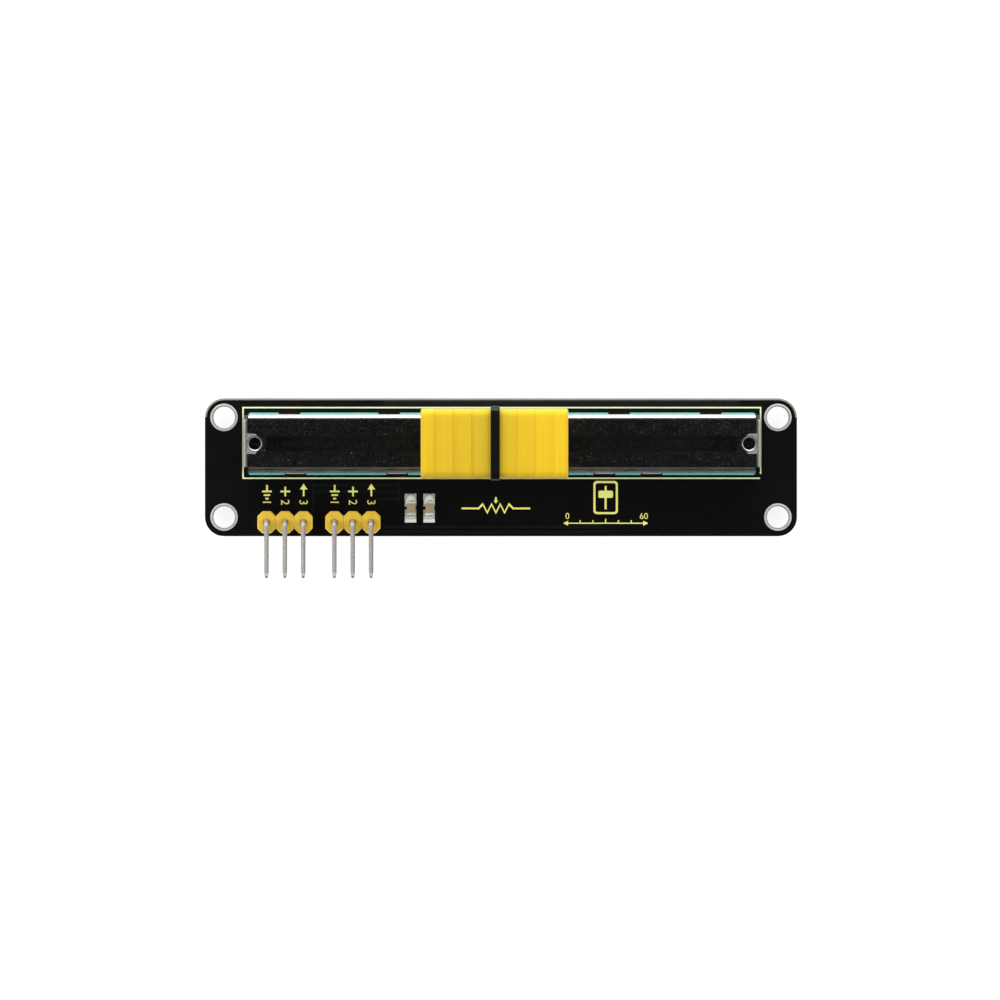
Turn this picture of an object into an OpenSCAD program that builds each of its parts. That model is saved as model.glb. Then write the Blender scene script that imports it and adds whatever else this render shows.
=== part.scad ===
/* [Board] */
// Length of the circuit board
board_l = 82; // [80:0.5:90]
// Width of the circuit board
board_w = 19.1; // [18.5:0.1:24]
// Thickness of the circuit board
board_t = 1.6; // [1.2:0.1:2]
// Radius of the board's corners
corner_r = 2.65; // [1:0.05:3]
// Width of the bare bevel along the board's upper edge
bevel_w = 0.26; // [0.1:0.02:0.5]
// Mounting holes, centre to centre along the board
hole_x = 76.7; // [76:0.1:84]
// Mounting holes, centre to centre across the board
hole_y = 13.8; // [13:0.1:18]
// Clear diameter of each mounting hole, for an M3 screw
hole_d = 3.0; // [2.6:0.1:3.2]
// Outer diameter of the plated ring round each hole
ring_d = 3.8; // [3.8:0.1:4.4]

/* [Potentiometer] */
// Place of the potentiometer along the board
pot_x = 0.14; // [-0.5:0.01:0.5]
// Place of the potentiometer across the board
pot_y = 3.24; // [3:0.01:3.6]
// Length of the folded case
case_l = 71.2; // [71:0.1:73]
// Width of the folded case
case_w = 8.1; // [7.9:0.1:9]
// Top of the case above the board
case_h = 6.8; // [6.4:0.1:8]
// Thickness of the sheet
sheet_t = 0.45; // [0.35:0.05:0.5]
// Outer radius of the bends along the case
bend_r = 0.7; // [0.65:0.05:1.2]
// Width of the slot
slot_w = 2.1; // [1.8:0.1:2.6]
// Case screw holes, centre to centre
screw_spacing = 68.2; // [68:0.1:69]
// Diameter of the case screw holes, tapped for M2
screw_d = 1.6; // [1.4:0.05:1.8]
// Travel of the slider
travel = 60; // [45:1:60]
// Width of the element board under the case
element_w = 8.62; // [8.6:0.02:9.4]
// Thickness of the element board
element_t = 1.2; // [0.8:0.1:1.2]

/* [Knob] */
// Place of the slider at rest, from the middle of its travel
rest_x = -1.03; // [-20:0.01:20]
// Length of the knob along the travel
knob_l = 20.2; // [16:0.05:22]
// Width of the knob
knob_w = 9.65; // [8.5:0.05:11]
// Height of the knob
knob_h = 10.6; // [10:0.1:12]
// Gap between the case and the knob
knob_gap = 1.0; // [0.6:0.1:2]
// Depth of the finger scoop
scoop_depth = 2.3; // [1.5:0.1:2.6]
// Height of each grip step in the scoop
step_h = 0.2; // [0.1:0.02:0.3]
// Distance between the grip steps
step_pitch = 2.55; // [2:0.05:2.8]
// Width of the pointer bar
pointer_w = 1.25; // [0.8:0.05:2]

/* [Headers] */
// Distance between header pins
pitch = 2.54; // [2.54:0.01:2.54]
// Side of the square pins
pin_w = 0.64; // [0.5:0.02:0.7]
// Middle of the left header along the board
header_x1 = -29.87; // [-31:0.01:-29]
// Middle of the right header along the board
header_x2 = -20.49; // [-21:0.01:-18]
// Line of the header pins across the board
header_y = -7.62; // [-7.8:0.01:-7]
// Height of the header housings
housing_h = 2.5; // [2:0.1:2.8]
// Depth of the header housings across the board
housing_d = 3.05; // [2.5:0.05:3.3]
// Reach of the pins from their vertical legs
pin_reach = 7.7; // [6:0.1:9]

/* [Capacitors] */
// Length of a chip capacitor
chip_l = 2.0; // [1.8:0.05:2.2]
// Width of a chip capacitor
chip_w = 1.25; // [1:0.05:1.3]
// Height of a chip capacitor
chip_h = 0.85; // [0.6:0.05:1.2]
// Length over both solder pads of a chip
joint_l = 4.0; // [3.6:0.1:4.4]
// Width of a solder pad
pad_w = 1.6; // [1.5:0.01:1.9]

/* [Hidden] */
$fn = 48;

// Colours
mask_black = "#121214";
plated = "#c9c9cc";
ink_yellow = "#eceab4";
bright_yellow = "#f2c92c";
solder_grey = "#d4d4d2";
ceramic_tan = "#a5966f";
board_teal = "#59bfb2";

// Overlap that keeps joined shapes from only touching, and cuts from grazing
eps = 0.02;

// Board and its mounting holes
plating_t = 0.06;
barrel_t = 0.12;
ink_t = 0.03;
ink_w = 0.2;
sign_w = 0.25;
tail_z = -1.5;
joint_hole_d = 1.0;
joint_pad_r = 0.85;
joint_cone_l = 1.0;
joint_cone_r = 0.75;
joint_tip_r = 0.5;
hole_places = [
  [-hole_x / 2, -hole_y / 2],
  [hole_x / 2, -hole_y / 2],
  [hole_x / 2, hole_y / 2],
  [-hole_x / 2, hole_y / 2]
];

// Printed frame round the potentiometer, and the fields of the small signs
frame_left = -35.72;
frame_right = 35.96;
frame_low = -1.52;
frame_high = 8.26;
sign_y = -3.35;
symbol_x = -0.7;
symbol_y = -5.5;
icon_x = 14.5;
icon_y = -4.2;
scale_x = 14.5;
scale_y = -7.75;
scale_l = 10.6;

// Heights through the potentiometer
element_z = board_t + sheet_t;
element_top = element_z + element_t;
case_top = board_t + case_h;
ceiling_z = case_top - sheet_t;
flap_r = 0.55;
relief = 0.2;
tab_w = 2.6;
tab_reach = 1.2;
tab_r = 0.6;
tab_bite = 0.3;
tab_places = [[-29.4, -15.6, 16.2, 28.9], [-20.7, -14.2, 14.5, 28.6]];
tab_proud = [0, 0.12];
notch_clear = 0.2;
flange_t = 0.35;
flange_h = 0.55;
flange_lip = 0.3;
collar_bite = 0.06;

// Tracks, in two gangs either side of the middle line
track_t = 0.05;
track_w = 0.9;
carbon_y = 2.25;
collector_y = 0.95;

// Terminals: place of each eyelet and of its leg, from the middle of the case
eyelet_r = 0.7;
eyelet_bore_r = 0.3;
eyelet_barrel_r = 0.5;
eyelet_t = 0.12;
foot_t = 0.3;
leg_w = 0.8;
leg_t = 0.3;
end_eyelet_x = 33.4;
wiper_eyelet_x = -34.2;
end_step = 0.8;
wiper_step = 1.8;
terminals = [
  [-end_eyelet_x, -carbon_y, -end_step],
  [-end_eyelet_x, carbon_y, -end_step],
  [wiper_eyelet_x, -collector_y, wiper_step],
  [wiper_eyelet_x, collector_y, wiper_step],
  [end_eyelet_x, -carbon_y, end_step],
  [end_eyelet_x, carbon_y, end_step]
];

// Slider
slide_x = pot_x + rest_x;
side_clear = 0.1;
end_clear = 0.5;
carriage_l = 9.6;
carriage_w = case_w - 2 * sheet_t - 2 * side_clear;
carriage_z = element_top + 1.0;
carriage_deck = carriage_z + 2.0;
carriage_top = ceiling_z - side_clear;
rail_w = 0.8;
rail_inset = 0.3;
rail_shoe_l = 2.2;
rail_slope_l = 1.2;
rail_step = 0.35;
boss_l = 5.4;
boss_w = 3.2;
mould_hole_x = 3.6;
mould_hole_r = 0.6;
lever_l = 4.0;
lever_w = 1.2;
slot_l = travel + lever_l + 2 * end_clear;
lever_foot_z = carriage_z + 0.6;
lever_top = board_t + 14;
neck_step = 0.8;
neck_h = 1.0;
lever_chamfer = 0.4;
wiper_t = 0.15;
wiper_tip_gap = 0.04;
finger_w = 0.35;
finger_gap = 0.1;
finger_root_x = 1.84;
finger_heel_x = 3.4;
plate_l = 2.3;
toe_x = 0.5;
toe_rise = 0.3;

// Knob
knob_z = case_top + knob_gap;
knob_top = knob_z + knob_h;
knob_wall = 1.3;
floor_z = knob_top - scoop_depth;
socket_l = 7.0;
socket_w = 4.4;
socket_lift = 0.4;
rib_t = 0.8;
rib_lift = 0.8;
cavity_top = 15.8;
draft = 0.017;
edge_r = 0.9;
rim_w = 0.9;
rim_drop = 0.6;
corner_plan_r = 0.2;
pointer_x = 0.1;
pointer_l = 10.18;
pointer_proud = 0.45;
pointer_sink = 0.7;
pointer_side_h = 3.4;
pointer_side_t = 0.75;
step_run = 0.24;
first_step = 3.0;
crest_u = knob_l / 2 - rim_w;

// Header pins
header_places = [header_x1, header_x2];
pin_bend_r = 0.4;
pin_lift = 0.5;
pin_z = board_t + housing_h + pin_lift;
pin_tip_l = 0.7;
pin_tip_w = 0.3;
housing_chamfer = 0.7;
housing_bevel = 0.22;

// Chip capacitors
chip_places = [-12.42, -9.85];
chip_y = -5.66;
chip_cap_l = 0.35;
pad_gap = 0.42;
pad_shift = -0.1;
solder_side = 0.06;
solder_edge = 0.12;
solder_climb = 0.85;

function header_pin_x(i) = header_places[floor(i / 3)] + (i % 3 - 1) * pitch;
function ease(t) = let(c = min(max(t, 0), 1)) c * c * (3 - 2 * c);

// Plate outline with round corners
module round_plate(l, w, r) {
  square([l - 2 * r, w], center = true);
  square([l, w - 2 * r], center = true);
  for (x = [-1, 1])
    for (y = [-1, 1])
      translate([x * (l / 2 - r), y * (w / 2 - r)])
        circle(r);
}

// Turns a drawn Y and Z outline into a bar of a given length along X, centred
module along_x(l) {
  translate([-l / 2, 0, 0])
    rotate([90, 0, 90])
      linear_extrude(l)
        children();
}

// Turns a drawn X and Z outline into a bar of a given length along Y, centred
module along_y(l) {
  translate([0, l / 2, 0])
    rotate([90, 0, 0])
      linear_extrude(l)
        children();
}

// Bevel round a quarter of a board corner, in the corner's own axes
module corner_bevel() {
  intersection() {
    rotate_extrude()
      polygon([
        [corner_r - bevel_w, board_t + eps],
        [corner_r + eps, board_t + eps],
        [corner_r + eps, board_t - 2 * bevel_w]
      ]);
    cube([2 * corner_r, 2 * corner_r, 2 * board_t]);
  }
}

// Circuit board: routed outline, scored upper edge and every drilled hole
module pcb() {
  color(mask_black)
    difference() {
      linear_extrude(board_t)
        round_plate(board_l, board_w, corner_r);
      along_x(board_l - 2 * corner_r)
        polygon([
          [board_w / 2 - bevel_w, board_t + eps],
          [board_w / 2 + eps, board_t + eps],
          [board_w / 2 + eps, board_t - 2 * bevel_w]
        ]);
      for (s = [0, 1])
        translate([(1 - 2 * s) * (board_l / 2 - corner_r), board_w / 2 - corner_r, 0])
          rotate([0, 0, 90 * s])
            corner_bevel();
      for (p = hole_places)
        translate([p[0], p[1], -1])
          cylinder(h = board_t + 2, d = hole_d + 2 * barrel_t);
      for (i = [0:5])
        translate([header_pin_x(i), header_y, -1])
          cylinder(h = board_t + 2, d = joint_hole_d);
      for (t = terminals)
        translate([leg_x(t), pot_y + t[1], -1])
          cylinder(h = board_t + 2, d = joint_hole_d);
    }
}

// Copper lining of a mounting hole, flared over both faces of the board
module mounting_ring(i) {
  color(plated)
    translate([hole_places[i][0], hole_places[i][1], 0])
      rotate_extrude()
        union() {
          translate([hole_d / 2, -plating_t])
            square([barrel_t, board_t + 2 * plating_t]);
          translate([hole_d / 2, board_t])
            square([(ring_d - hole_d) / 2, plating_t]);
          translate([hole_d / 2, -plating_t])
            square([(ring_d - hole_d) / 2, plating_t]);
        }
}

// Printed frame, terminal signs, resistor symbol and travel scale, one ink layer
module silkscreen() {
  color(ink_yellow)
    translate([0, 0, board_t])
      linear_extrude(ink_t) {
        frame_print();
        for (i = [0:5])
          translate([header_pin_x(i), sign_y])
            terminal_sign(i % 3);
        translate([symbol_x, symbol_y])
          resistor_sign();
        translate([icon_x, icon_y])
          slider_icon();
        translate([scale_x, scale_y])
          travel_scale();
      }
}

// Frame whose lower right corner stays open, as in the print of the real one
module frame_print() {
  frame_l = frame_right - frame_left;
  frame_h = frame_high - frame_low;
  for (y = [frame_low, frame_high])
    translate([frame_left - ink_w / 2, y - ink_w / 2])
      square([frame_l, ink_w]);
  translate([frame_left - ink_w / 2, frame_low - ink_w / 2])
    square([ink_w, frame_h + ink_w]);
  translate([frame_right - ink_w / 2, frame_low + 3 * ink_w])
    square([ink_w, frame_h - 2.5 * ink_w]);
}

// Sign beside one pin: 0 for earth, 1 for supply, 2 for the output
module terminal_sign(kind) {
  size = 1.35;
  bar_gap = 0.5;
  if (kind == 0) {
    for (k = [0:2])
      translate([0, -bar_gap * k])
        square([size * (1 - k / 3), sign_w], center = true);
    translate([0, size / 3])
      square([sign_w, size * 2 / 3], center = true);
  }
  if (kind == 1) {
    square([size, sign_w], center = true);
    square([sign_w, size], center = true);
  }
  if (kind == 2) {
    square([sign_w, size], center = true);
    polygon([
      [0, size * 0.8],
      [-size * 0.4, size * 0.2],
      [size * 0.4, size * 0.2]
    ]);
  }
}

// Zigzag of a variable resistor with its leads and its wiper arrow
module resistor_sign() {
  rise = 0.6;
  step = 0.6;
  lead_l = 2.4;
  thick = 1.6 * sign_w;
  arrow_z = 0.45;
  arrow_h = 0.45;
  zig = [for (k = [0:8]) [(k - 4) * step, (k == 0 || k == 8) ? 0 : (k % 2 == 0 ? -rise : rise)]];
  lower = [for (k = [8:-1:0]) zig[k] - [0, thick]];
  polygon(concat(zig, lower));
  for (s = [-1, 1])
    translate([s * (4 * step + lead_l / 2 - 0.05), -thick / 2])
      square([lead_l, sign_w], center = true);
  translate([0, arrow_z + 2 * arrow_h / 2 + 0.15])
    square([sign_w, 0.6], center = true);
  polygon([
    [0, arrow_z],
    [-0.7 * arrow_h, arrow_z + arrow_h],
    [0.7 * arrow_h, arrow_z + arrow_h]
  ]);
}

// Plain picture of a slider in its track
module slider_icon() {
  wide = 3.4;
  high = 4.6;
  line = 0.3;
  difference() {
    round_plate(wide, high, 0.5);
    round_plate(wide - 2 * line, high - 2 * line, 0.3);
  }
  square([line, high * 0.7], center = true);
  translate([0, high / 10])
    round_plate(wide * 0.6, 1.0, 0.2);
}

// Line with arrowheads and ticks for the way the slider travels
module travel_scale() {
  ticks = 6;
  line = 0.16;
  head_l = 0.7;
  head_w = 0.72;
  square([scale_l, line], center = true);
  for (s = [-1, 1])
    polygon([
      [s * (scale_l / 2 + head_l - 0.1), 0],
      [s * (scale_l / 2 - 0.1), head_w / 2],
      [s * (scale_l / 2 - 0.1), -head_w / 2]
    ]);
  for (k = [1:ticks - 1])
    let(long = k == ticks / 2 ? 0.7 : 0.5)
      translate([(k / ticks - 0.5) * scale_l, (long - line) / 2])
        square([line, long], center = true);
}

// One eight-sided cell of a header housing
module housing_cell(grow) {
  a = pitch / 2 + grow;
  b = housing_d / 2 + grow;
  c = housing_chamfer;
  polygon([
    [-a + c, -b],
    [a - c, -b],
    [a, -b + c],
    [a, b - c],
    [a - c, b],
    [-a + c, b],
    [-a, b - c],
    [-a, -b + c]
  ]);
}

// Moulded block of three cells with bevelled rims and a square hole in each
module header_housing(g) {
  color(bright_yellow)
    translate([header_places[g], header_y, board_t])
      difference() {
        for (k = [-1:1])
          translate([k * pitch, 0, 0]) {
            linear_extrude(housing_h - housing_bevel)
              housing_cell(k == 0 ? eps : 0);
            translate([0, 0, housing_h - housing_bevel])
              linear_extrude(housing_bevel, scale = 1 - 2 * housing_bevel / pitch)
                housing_cell(0);
          }
        for (k = [-1:1])
          translate([k * pitch, 0, housing_h / 2])
            cube([pin_w, pin_w, housing_h + 1], center = true);
      }
}

// Side view of a pin: tail, leg, bend and the long arm that leaves the board
module pin_side() {
  r_out = pin_bend_r + pin_w;
  bend_y = -pin_w / 2 - pin_bend_r;
  bend_z = pin_z - pin_bend_r;
  point = (pin_w - pin_tip_w) / 2;
  difference() {
    polygon([
      [pin_w / 2, tail_z],
      [pin_w / 2, pin_z + pin_w],
      [-pin_reach + pin_tip_l, pin_z + pin_w],
      [-pin_reach, pin_z + pin_w - point],
      [-pin_reach, pin_z + point],
      [-pin_reach + pin_tip_l, pin_z],
      [bend_y, pin_z],
      [-pin_w / 2, bend_z],
      [-pin_w / 2, tail_z]
    ]);
    translate([bend_y, bend_z]) {
      difference() {
        square([r_out + eps, r_out + eps]);
        circle(r_out);
      }
      circle(pin_bend_r);
    }
  }
}

// Square wire pin, bent over its housing, with its free end pointed both ways
module header_pin(i) {
  arm_end = -pin_reach;
  color(plated)
    translate([header_pin_x(i), header_y, 0])
      intersection() {
        along_x(pin_w)
          pin_side();
        translate([0, 0, tail_z - 1])
          linear_extrude(pin_z + pin_w - tail_z + 2)
            polygon([
              [-pin_w / 2, pin_w],
              [-pin_w / 2, arm_end + pin_tip_l],
              [-pin_tip_w / 2, arm_end],
              [pin_tip_w / 2, arm_end],
              [pin_w / 2, arm_end + pin_tip_l],
              [pin_w / 2, pin_w]
            ]);
      }
}

// Solder that fills a drilled hole and stands as a cone on the far side
module joint_fill() {
  translate([0, 0, -plating_t])
    cylinder(h = board_t + plating_t, d = joint_hole_d);
  translate([0, 0, -plating_t])
    cylinder(h = plating_t, r = joint_pad_r);
  translate([0, 0, -joint_cone_l])
    cylinder(h = joint_cone_l - plating_t, r1 = joint_tip_r, r2 = joint_cone_r);
}

// Solder joints of the six header pins
module header_solder() {
  color(solder_grey)
    for (i = [0:5])
      translate([header_pin_x(i), header_y, 0])
        difference() {
          joint_fill();
          translate([-pin_w / 2, -pin_w / 2, -3])
            cube([pin_w, pin_w, 6]);
        }
}

// Ceramic block of a chip capacitor
module chip_body(i) {
  color(ceramic_tan)
    translate([chip_places[i], chip_y, board_t + plating_t + chip_h / 2])
      cube([chip_w, chip_l - 2 * chip_cap_l, chip_h], center = true);
}

// Metal end terminations of a chip capacitor
module chip_ends(i) {
  color(plated)
    for (s = [-1, 1])
      translate([chip_places[i], chip_y + s * (chip_l - chip_cap_l) / 2, board_t + plating_t + chip_h / 2])
        cube([chip_w, chip_cap_l, chip_h], center = true);
}

// Hollow-faced fillet that climbs one end of a chip, narrower towards its top
module end_fillet() {
  run = (joint_l - chip_l) / 2;
  rise = chip_h * solder_climb;
  foot_w = chip_w + 2 * solder_side;
  fall = plating_t + rise - solder_edge;
  hollow_r = (run * run + fall * fall) / (2 * fall);
  intersection() {
    translate([0, chip_l / 2, 0])
      along_x(foot_w)
        difference() {
          square([run, plating_t + rise]);
          translate([run, solder_edge + hollow_r])
            circle(hollow_r);
        }
    along_y(joint_l)
      polygon([
        [-foot_w / 2, 0],
        [foot_w / 2, 0],
        [foot_w / 2, plating_t],
        [chip_w / 2, plating_t + rise],
        [-chip_w / 2, plating_t + rise],
        [-foot_w / 2, plating_t]
      ]);
  }
}

// Solder at both ends of a chip capacitor: a tinned pad with a fillet on it
module chip_solder(i) {
  pad_l = (joint_l - pad_gap) / 2;
  color(solder_grey)
    translate([chip_places[i], chip_y, board_t])
      difference() {
        for (s = [0, 1])
          rotate([0, 0, 180 * s])
            union() {
              end_fillet();
              translate([(1 - 2 * s) * pad_shift, (pad_gap + pad_l) / 2, plating_t / 2])
                cube([pad_w, pad_l, plating_t], center = true);
            }
        translate([0, 0, plating_t + chip_h])
          cube([chip_w, chip_l, 2 * chip_h], center = true);
      }
}

// Bend profile of the case: two round shoulders over straight walls
module shell_outline(w, top, r) {
  translate([-w / 2, element_top])
    square([w, top - element_top - r]);
  translate([-w / 2 + r, element_top])
    square([w - 2 * r, top - element_top]);
  for (s = [-1, 1])
    translate([s * (w / 2 - r), top - r])
      circle(r);
}

// Long sides and top of the case, without its ends
module case_channel() {
  along_x(case_l - 2 * (sheet_t + relief))
    difference() {
      shell_outline(case_w, case_top, bend_r);
      translate([0, -eps])
        shell_outline(case_w - 2 * sheet_t, ceiling_z + eps, bend_r - sheet_t);
    }
}

// End flap: a quarter bend from the top sheet and a wide leg down past the board
module case_flap() {
  neck_w = case_w - 2 * (bend_r + relief / 2);
  translate([case_l / 2 - sheet_t / 2, 0, (element_z + case_top - bend_r - relief) / 2])
    cube([sheet_t, case_w - relief, case_top - bend_r - relief - element_z], center = true);
  along_y(neck_w)
    union() {
      translate([case_l / 2 - flap_r, case_top - flap_r])
        difference() {
          intersection() {
            circle(flap_r);
            square(flap_r);
          }
          circle(flap_r - sheet_t);
        }
      translate([case_l / 2 - flap_r - 2 * relief, ceiling_z])
        square([2 * relief + eps, sheet_t]);
      translate([case_l / 2 - sheet_t, element_z])
        square([sheet_t, case_top - flap_r - element_z + eps]);
    }
}

// Tab that goes through a notch of the element board and folds under it, as far proud of the wall as given
module case_tab(proud) {
  translate([0, proud, 0])
    along_x(tab_w)
      union() {
        translate([case_w / 2 - sheet_t, board_t + tab_r])
          square([sheet_t, element_top - board_t - tab_r + tab_bite]);
        translate([case_w / 2 - tab_r, board_t + tab_r])
          difference() {
            intersection() {
              circle(tab_r);
              translate([0, -tab_r])
                square(tab_r);
            }
            circle(tab_r - sheet_t);
          }
        translate([case_w / 2 - tab_r - tab_reach, board_t])
          square([tab_reach, sheet_t]);
      }
}

// Drawn collar of a case screw hole, with its rounded mouth
module screw_collar() {
  r = screw_d / 2;
  rotate_extrude()
    union() {
      translate([r, ceiling_z - flange_h])
        square([flange_t, flange_h + sheet_t - flange_lip]);
      translate([r + flange_lip, case_top - flange_lip]) {
        intersection() {
          circle(flange_lip);
          translate([-flange_lip, -eps])
            square(flange_lip + eps);
        }
        translate([0, -eps])
          square([collar_bite, flange_lip + eps]);
      }
    }
}

// Folded sheet case: slot, two tapped collars, end flaps, corner reliefs and tabs
module pot_case() {
  color(plated)
    translate([pot_x, pot_y, 0])
      union() {
        difference() {
          union() {
            case_channel();
            for (s = [0, 1])
              rotate([0, 0, 180 * s])
                case_flap();
          }
          translate([0, 0, ceiling_z - 1])
            linear_extrude(3)
              round_plate(slot_l, slot_w, 0.4);
          for (s = [-1, 1])
            translate([s * screw_spacing / 2, 0, ceiling_z - 1])
              cylinder(h = 3, r = screw_d / 2 + flange_lip);
        }
        for (s = [0, 1])
          rotate([0, 0, 180 * s]) {
            translate([screw_spacing / 2, 0, 0])
              screw_collar();
            for (x = tab_places[s])
              translate([x, 0, 0])
                case_tab(tab_proud[s]);
          }
      }
}

// Phenolic board that carries the tracks, notched for the case tabs
module element_board() {
  color(board_teal)
    translate([pot_x, pot_y, element_z])
      difference() {
        linear_extrude(element_t)
          round_plate(case_l - 2 * sheet_t - 0.1, element_w, 0.4);
        for (s = [0, 1])
          rotate([0, 0, 180 * s])
            for (x = tab_places[s])
              translate([x, case_w / 2 - tab_r + 1, element_t / 2])
                cube([tab_w + 2 * notch_clear, 2, element_t + 1], center = true);
        for (t = terminals)
          translate([t[0], t[1], -1])
            cylinder(h = element_t + 2, r = eyelet_barrel_r);
      }
}

// Printed strip from end to end, with a clear circle where an eyelet head sits
module track_strip(x, y) {
  translate([pot_x, pot_y, element_top])
    linear_extrude(track_t)
      difference() {
        translate([x, y - track_w / 2])
          square([end_eyelet_x - x, track_w]);
        for (t = terminals)
          translate([t[0], t[1]])
            circle(eyelet_r + 0.02);
      }
}

// Resistive tracks, one to each gang
module carbon_track(g) {
  color("#2b2b2b")
    track_strip(-end_eyelet_x, g == 0 ? -carbon_y : carbon_y);
}

// Silver collector tracks, one to each gang
module collector_track(g) {
  color("#b9b9b4")
    track_strip(wiper_eyelet_x, g == 0 ? -collector_y : collector_y);
}

function leg_x(t) = pot_x + t[0] + t[2];

// Terminal: eyelet through the element board, foot beneath it and solder leg
module terminal(i) {
  t = terminals[i];
  color(plated)
    translate([pot_x + t[0], pot_y + t[1], 0])
      difference() {
        union() {
          translate([0, 0, element_z - foot_t])
            cylinder(h = element_t + foot_t + eyelet_t, r = eyelet_barrel_r);
          translate([0, 0, element_top])
            cylinder(h = eyelet_t, r = eyelet_r);
          translate([0, 0, element_z - foot_t])
            cylinder(h = foot_t, r = eyelet_r);
          translate([min(0, t[2] - leg_t / 2), -leg_w / 2, element_z - foot_t])
            cube([abs(t[2]) + leg_t / 2, leg_w, foot_t]);
          translate([t[2] - leg_t / 2, -leg_w / 2, tail_z])
            cube([leg_t, leg_w, element_z - tail_z]);
        }
        translate([0, 0, element_z - foot_t - 1])
          cylinder(h = element_t + 3, r = eyelet_bore_r);
      }
}

// Solder joints of the six terminals
module terminal_solder() {
  color(solder_grey)
    for (t = terminals)
      translate([leg_x(t), pot_y + t[1], 0])
        difference() {
          joint_fill();
          translate([-leg_t / 2, -leg_w / 2, -3])
            cube([leg_t, leg_w, 6]);
        }
}

// Moulded carriage: deck, two guide rails and the boss that holds the lever
module carriage() {
  color("#e8e6dc")
    translate([slide_x, pot_y, 0])
      difference() {
        union() {
          translate([-carriage_l / 2, -carriage_w / 2, carriage_z])
            cube([carriage_l, carriage_w, carriage_deck - carriage_z]);
          for (s = [-1, 1])
            translate([0, s * ((carriage_w - rail_w) / 2 - rail_inset), 0])
              along_y(rail_w)
                carriage_rail();
          translate([-boss_l / 2, -boss_w / 2, carriage_deck - eps])
            cube([boss_l, boss_w, carriage_top - carriage_deck + eps]);
        }
        lever_blank();
        for (s = [-1, 1])
          translate([s * mould_hole_x, 0, carriage_z - 1])
            cylinder(h = 6, r = mould_hole_r);
      }
}

// Rail outline: a long shoe with sloping ends that keeps the carriage level
module carriage_rail() {
  half = carriage_l / 2;
  shoe = half - rail_shoe_l;
  step_z = carriage_top - rail_step;
  polygon([
    [-half, carriage_z],
    [half, carriage_z],
    [half, carriage_deck],
    [half - rail_slope_l, step_z],
    [shoe + 0.3, step_z],
    [shoe, carriage_top],
    [-shoe, carriage_top],
    [-shoe - 0.3, step_z],
    [-half + rail_slope_l, step_z],
    [-half, carriage_deck]
  ]);
}

// Lever drawn about the slider's own middle line
module lever_blank() {
  along_y(lever_w)
    polygon([
      [-lever_l / 2 - neck_step, lever_foot_z],
      [lever_l / 2 + neck_step, lever_foot_z],
      [lever_l / 2 + neck_step, lever_foot_z + neck_h],
      [lever_l / 2, lever_foot_z + neck_h],
      [lever_l / 2, lever_top - lever_chamfer],
      [lever_l / 2 - lever_chamfer, lever_top],
      [-lever_l / 2 + lever_chamfer, lever_top],
      [-lever_l / 2, lever_top - lever_chamfer],
      [-lever_l / 2, lever_foot_z + neck_h],
      [-lever_l / 2 - neck_step, lever_foot_z + neck_h]
    ]);
}

// Flat steel lever with a wider foot moulded into the carriage
module lever() {
  color(plated)
    translate([slide_x, pot_y, 0])
      lever_blank();
}

// Side view of a wiper finger: root under the carriage, spring arm, curled tip
module finger_side() {
  tip = element_top + track_t + wiper_tip_gap;
  polygon([
    [finger_heel_x, carriage_z],
    [finger_heel_x, carriage_z - wiper_t],
    [finger_root_x + wiper_t / 2, carriage_z - wiper_t],
    [toe_x + 1.5 * wiper_t, tip],
    [toe_x - 1.5 * wiper_t, tip],
    [toe_x - 4 * wiper_t, tip + toe_rise],
    [toe_x - 3.3 * wiper_t, tip + toe_rise + 0.8 * wiper_t],
    [toe_x - wiper_t, tip + wiper_t],
    [toe_x + wiper_t, tip + wiper_t],
    [finger_root_x, carriage_z]
  ]);
}

// Spring wiper of one gang: fingers on the carbon and on the collector
module wiper(g) {
  side = g == 0 ? -1 : 1;
  mid = (carbon_y + collector_y) / 2;
  reach = carbon_y - collector_y + track_w;
  color("#d9a86c")
    translate([slide_x, pot_y + side * mid, 0])
      union() {
        translate([finger_root_x, -reach / 2, carriage_z - wiper_t])
          cube([plate_l, reach, wiper_t]);
        for (band = [-1, 1])
          for (f = [-1, 1])
            translate([0, band * (carbon_y - collector_y) / 2 + f * (finger_w + finger_gap) / 2, 0])
              along_y(finger_w)
                finger_side();
      }
}

// Height of the scoop at a distance from the knob's middle
function scoop_z(u) =
  let(
    steps = [for (k = [0:2]) first_step + k * step_pitch],
    stair = step_h * (ease((u - steps[0]) / step_run) + ease((u - steps[1]) / step_run)
      + ease((u - steps[2]) / step_run)),
    dish = (scoop_depth - 3 * step_h) * pow(min(u, crest_u) / crest_u, 2),
    over = max(u - crest_u, 0) / rim_w,
    rim = rim_drop * (1 - sqrt(max(1 - over * over, 0)))
  )
  floor_z + stair + dish - rim;

// Half width of the knob's foot at a distance from its middle
function half_w(u) =
  let(over = max(u - knob_l / 2 + corner_plan_r, 0))
  knob_w / 2 - corner_plan_r + sqrt(max(corner_plan_r * corner_plan_r - over * over, 0));

// Cross-section of the knob, drafted sides and rounded long edges
function knob_section(x) =
  let(
    u = abs(x),
    top = scoop_z(u),
    foot = half_w(u),
    shoulder = foot - draft * (top - edge_r - knob_z),
    turn = [for (a = [0:15:90]) [
      shoulder - edge_r + edge_r * cos(a),
      top - edge_r + edge_r * sin(a)
    ]],
    right = concat([[foot, knob_z]], turn),
    n = len(right),
    left = [for (k = [n - 1:-1:0]) [-right[k][0], right[k][1]]]
  )
  [for (p = concat(right, left)) [x, p[0], p[1]]];

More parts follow.
